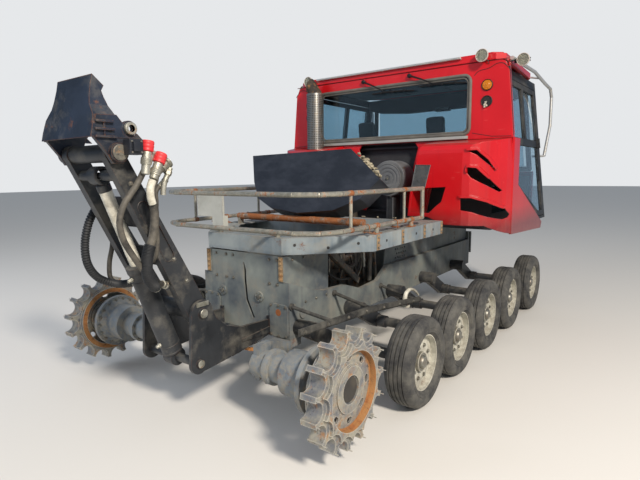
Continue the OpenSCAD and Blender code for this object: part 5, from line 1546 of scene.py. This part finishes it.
LEAN = math.radians(8)
BACK_UP = Vector((-math.sin(LEAN), 0, math.cos(LEAN)))
BACK_OUT = Vector((math.cos(LEAN), 0, math.sin(LEAN)))
FLAT, UPRIGHT = (Y, X, Z), (Y, BACK_UP, BACK_OUT)
for index, y in enumerate(SEATS):
    bm = bmesh.new()
    cushion(bm, at(3.53, y, 1.552), FLAT, 0.452, 0.452, 0.086)
    cushion(bm, at(3.332, y, 1.56) + BACK_UP * 0.280, UPRIGHT, 0.414, 0.552, 0.080)
    cushion(bm, at(3.258, y, 2.14) + BACK_UP * 0.105, UPRIGHT, 0.216, 0.206, 0.062)
    for s in (-1, 1):  # bolsters
        side = at(3.350, y + s * 0.176, 1.60) + BACK_UP * 0.24 + BACK_OUT * 0.012
        cushion(bm, side, UPRIGHT, 0.060, 0.44, 0.062, 0.004)
        cushion(bm, at(3.53, y + s * 0.198, 1.566), FLAT, 0.058, 0.42, 0.066, 0.004)
        sweep(bm, [at(3.245, y + s * 0.06, 2.09), at(3.242, y + s * 0.06, 2.17)], 0.0075, 10, 2)
    bricks(bm, ((3.40, y - 0.15, 1.112), (3.66, y + 0.15, 1.500), 3, 0.02))
    for z in (1.18, 1.26, 1.34, 1.42):
        bricks(bm, ((3.396, y - 0.152, z), (3.664, y + 0.152, z + 0.05), 3, 0.012))
    seat_mats = [seat_cloth, black_rubber_and_hole_shade, plated_bolt, black_abs]
    piece = bake(f"seat_{index + 1}", bm, seat_mats, "chassis", 60, ["seats"])
print("seat", tally["seat_1"])

# %% [markdown]
# Under the roof hangs a felt headliner with three pressed panels and two domed lights, and above the
# windscreen a shelf with a small switch box. They close the view through the rear window, where the
# bare shell would otherwise show.

# %% Headliner
SHELF = (
    (-1.16, 2.655), (-0.95, 2.605), (-0.50, 2.575), (0.50, 2.565), (0.95, 2.600), (1.16, 2.650),
    (1.16, 2.795), (-1.16, 2.795),
)
bm = bmesh.new()
bricks(bm, ((2.95, -1.20, 2.800), (4.30, 1.20, 2.812), 0, 0.005))
for y in (-0.62, 0.0, 0.62):
    bricks(bm, ((3.02, y - 0.24, 2.790), (4.22, y + 0.24, 2.802), 0, 0.005))
for y in (-0.3, 0.3):
    turned(bm, [(0, 0.06), (0.004, 0.062), (0.014, 0.05), (0.018, 0.0)], at(3.6, y, 2.790), -Z, 24, 1)
slab(bm, SHELF, at(4.36, 0, 0), Y, Z, 0.07, 0, 0.012)
bricks(bm, ((4.30, -0.16, 2.545), (4.37, 0.05, 2.60), 1, 0.012))
for k in range(4):
    sweep(bm, [at(4.295, -0.14 + 0.05 * k, z) for z in (2.555, 2.59)], 0.006, 6, 1)
bake("headliner", bm, [headliner, grey_plastic], "chassis")

# %% [markdown]
# The dash is a rounded beam with a steering wheel at the left seat, a centre stand and a pedestal
# with keys and a lever beside the driver. Four round vents lie on its top.

# %% Dash
SPOKES = 3
KNOB = ((0, 0.012), (0.01, 0.024), (0.035, 0.026), (0.055, 0.018), (0.06, 0.0))
VENT = ((0, 0.05), (0.004, 0.05), (0.008, 0.044), (0.004, 0.04), (0.004, 0.0))
bm = bmesh.new()
COLUMN_LEAN = math.radians(40)
hub, axis = at(4.06, 0.52, 1.80), Vector((-math.sin(COLUMN_LEAN), 0, math.cos(COLUMN_LEAN)))
a, b = square_to(axis)
sweep(bm, [hub + axis * 0.012 + p for p in circle(a, b, 0.159, 48)], 0.0112, 12, closed=True)
for k in range(SPOKES):
    t = math.tau * (k / SPOKES) + 0.5
    way = a * math.cos(t) + b * math.sin(t)
    sweep(bm, [hub + way * 0.02 + axis * 0.006, hub + way * 0.155 + axis * 0.012], 0.009, 8, flat=0.6)
turned(bm, [(0, 0.03), (0.004, 0.036), (0.018, 0.034), (0.024, 0.024), (0.025, 0.0)], hub, axis, 28)
sweep(bm, [at(4.255, 0.52, 1.602), hub], 0.019, 16)
bricks(
    bm,
    ((4.252, -0.998, 1.502), (4.537, 0.998, 1.638), 0, 0.03),
    ((4.302, -0.118, 1.112), (4.498, 0.118, 1.505), 0, 0.02),
    ((4.002, 0.182, 1.112), (4.178, 0.298, 1.698), 0, 0.02),
)
for k in range(6):
    bricks(bm, ((4.03 + 0.02 * k, 0.205, 1.696), (4.04 + 0.02 * k, 0.275, 1.706), 0, 0.002))
sweep(bm, bent([(4.10, 0.24, 1.69), (4.09, 0.24, 1.76), (4.075, 0.24, 1.80)], 4), 0.010)
turned(bm, KNOB, at(4.075, 0.24, 1.79), Z, 20)
for y in (-0.7, -0.35, 0.35, 0.7):
    turned(bm, VENT, at(4.40, y, 1.638), Z, 24, 1)
bricks(bm, ((4.246, 0.34, 1.530), (4.254, 0.70, 1.625), 1, 0.004))
bake("dash", bm, [lining, dark_trim_and_inlet_shade], "chassis", 35, ["console"])
print("inside", tally["dash"], tally["headliner"])

# %% [markdown]
# At the front, two round headlamps sit in the nose's openings behind clear glass. The photo doesn't
# show them, but the machine can be seen from every side.

# %% Headlamps
HEAD_BACK = (
    (0.0, 0.03), (0.01, 0.06), (0.03, 0.078), (0.05, 0.0825), (0.062, 0.0825), (0.064, 0.078), (0.060, 0.076),
)
HEAD_BOWL = ((0.0605, 0.076), (0.045, 0.070), (0.028, 0.05), (0.018, 0.02), (0.017, 0.0))
HEAD_BULB = ((0.018, 0.014), (0.03, 0.014), (0.04, 0.008), (0.041, 0.0))
HEAD_LENS = ((0.057, 0.0755), (0.061, 0.0755), (0.068, 0.05), (0.070, 0.02), (0.070, 0.0))
bm, glass = bmesh.new(), bmesh.new()
for s in (-1, 1):
    foot = at(4.80, s * 0.640, 1.380)
    turned(bm, HEAD_BACK, foot, X, 40)
    turned(bm, HEAD_BOWL, foot, X, 40, 1, caps=False)
    turned(bm, HEAD_BULB, foot, X, 14, 1)
    turned(glass, HEAD_LENS, foot, X, 40)
bake("headlamp_shells", bm, [black_abs, lamp_reflector], "chassis")
bake("headlamp_glasses", glass, lamp_lens, "chassis")
print("pieces", len(tally), "triangles", sum(tally.values()))


# %% [markdown]
# The studio: a pale floor, and a pale backdrop that the camera sees as near white. A small key lamp
# stands on the photo's sun side, which is the machine's right rear, and casts fairly sharp shadows;
# a large weak lamp and the sky fill them. Glossy surfaces mirror a bluer sky than the one that shows.

# %% Stage and light
FLOOR_REACH = 60.0


def make_stage():
    mesh = bpy.data.meshes.new("floor")
    corners = [(x * FLOOR_REACH, y * FLOOR_REACH, 0) for x, y in ((-1, -1), (1, -1), (1, 1), (-1, 1))]
    mesh.from_pydata(corners, [], [(0, 1, 2, 3)])
    floor = bpy.data.objects.new("floor", mesh)
    bpy.context.scene.collection.objects.link(floor)
    mat, tree, shader = start("floor_paper")[:3]
    give(tree, shader, Base_Color=linear("#d3d1cc"), Roughness=0.9)
    mesh.materials.append(mat)


def make_world():
    world = bpy.data.worlds.new("sky")
    bpy.context.scene.world = world
    world.use_nodes = True
    tree = world.node_tree
    lighting, mirrored, shown = [
        add(tree, "Background", Color=linear(tone), Strength=power).outputs[0]
        for tone, power in (("#dfe6f0", 0.55), ("#8fa8c6", 0.55), ("#e6e8ea", 1.0))
    ]
    ray = add(tree, "LightPath").outputs
    straight = calc(tree, "MAXIMUM", ray["Is Camera Ray"], ray["Is Transmission Ray"])
    around = add(tree, "MixShader", i0=ray["Is Glossy Ray"], i1=lighting, i2=mirrored).outputs[0]
    seen = add(tree, "MixShader", i0=straight, i1=around, i2=shown).outputs[0]
    give(tree, tree.nodes["World Output"], Surface=seen)


def make_lamp(name, place, aim, size, power, colour, sharp=True):
    data = bpy.data.lights.new(name, "AREA")
    data.shape = "DISK"
    data.size = size
    data.energy = power
    data.color = linear(colour)[:3]
    lamp = bpy.data.objects.new(name, data)
    turn = (Vector(place) - Vector(aim)).to_track_quat("Z", "Y").to_matrix().to_4x4()
    lamp.matrix_world = Matrix.Translation(place) @ turn
    lamp.visible_glossy = sharp
    lamp.visible_transmission = False
    bpy.context.scene.collection.objects.link(lamp)


make_stage()
make_world()
make_lamp("key", (-5.5, -8.5, 7.5), (0, 0, 1.0), 1.5, 1600, "#fff4e6")
make_lamp("fill", (-7.0, 6.0, 5.0), (0, 0, 1.0), 6.0, 300, "#e8f0ff", sharp=False)
bpy.context.scene.view_settings.view_transform = "Standard"
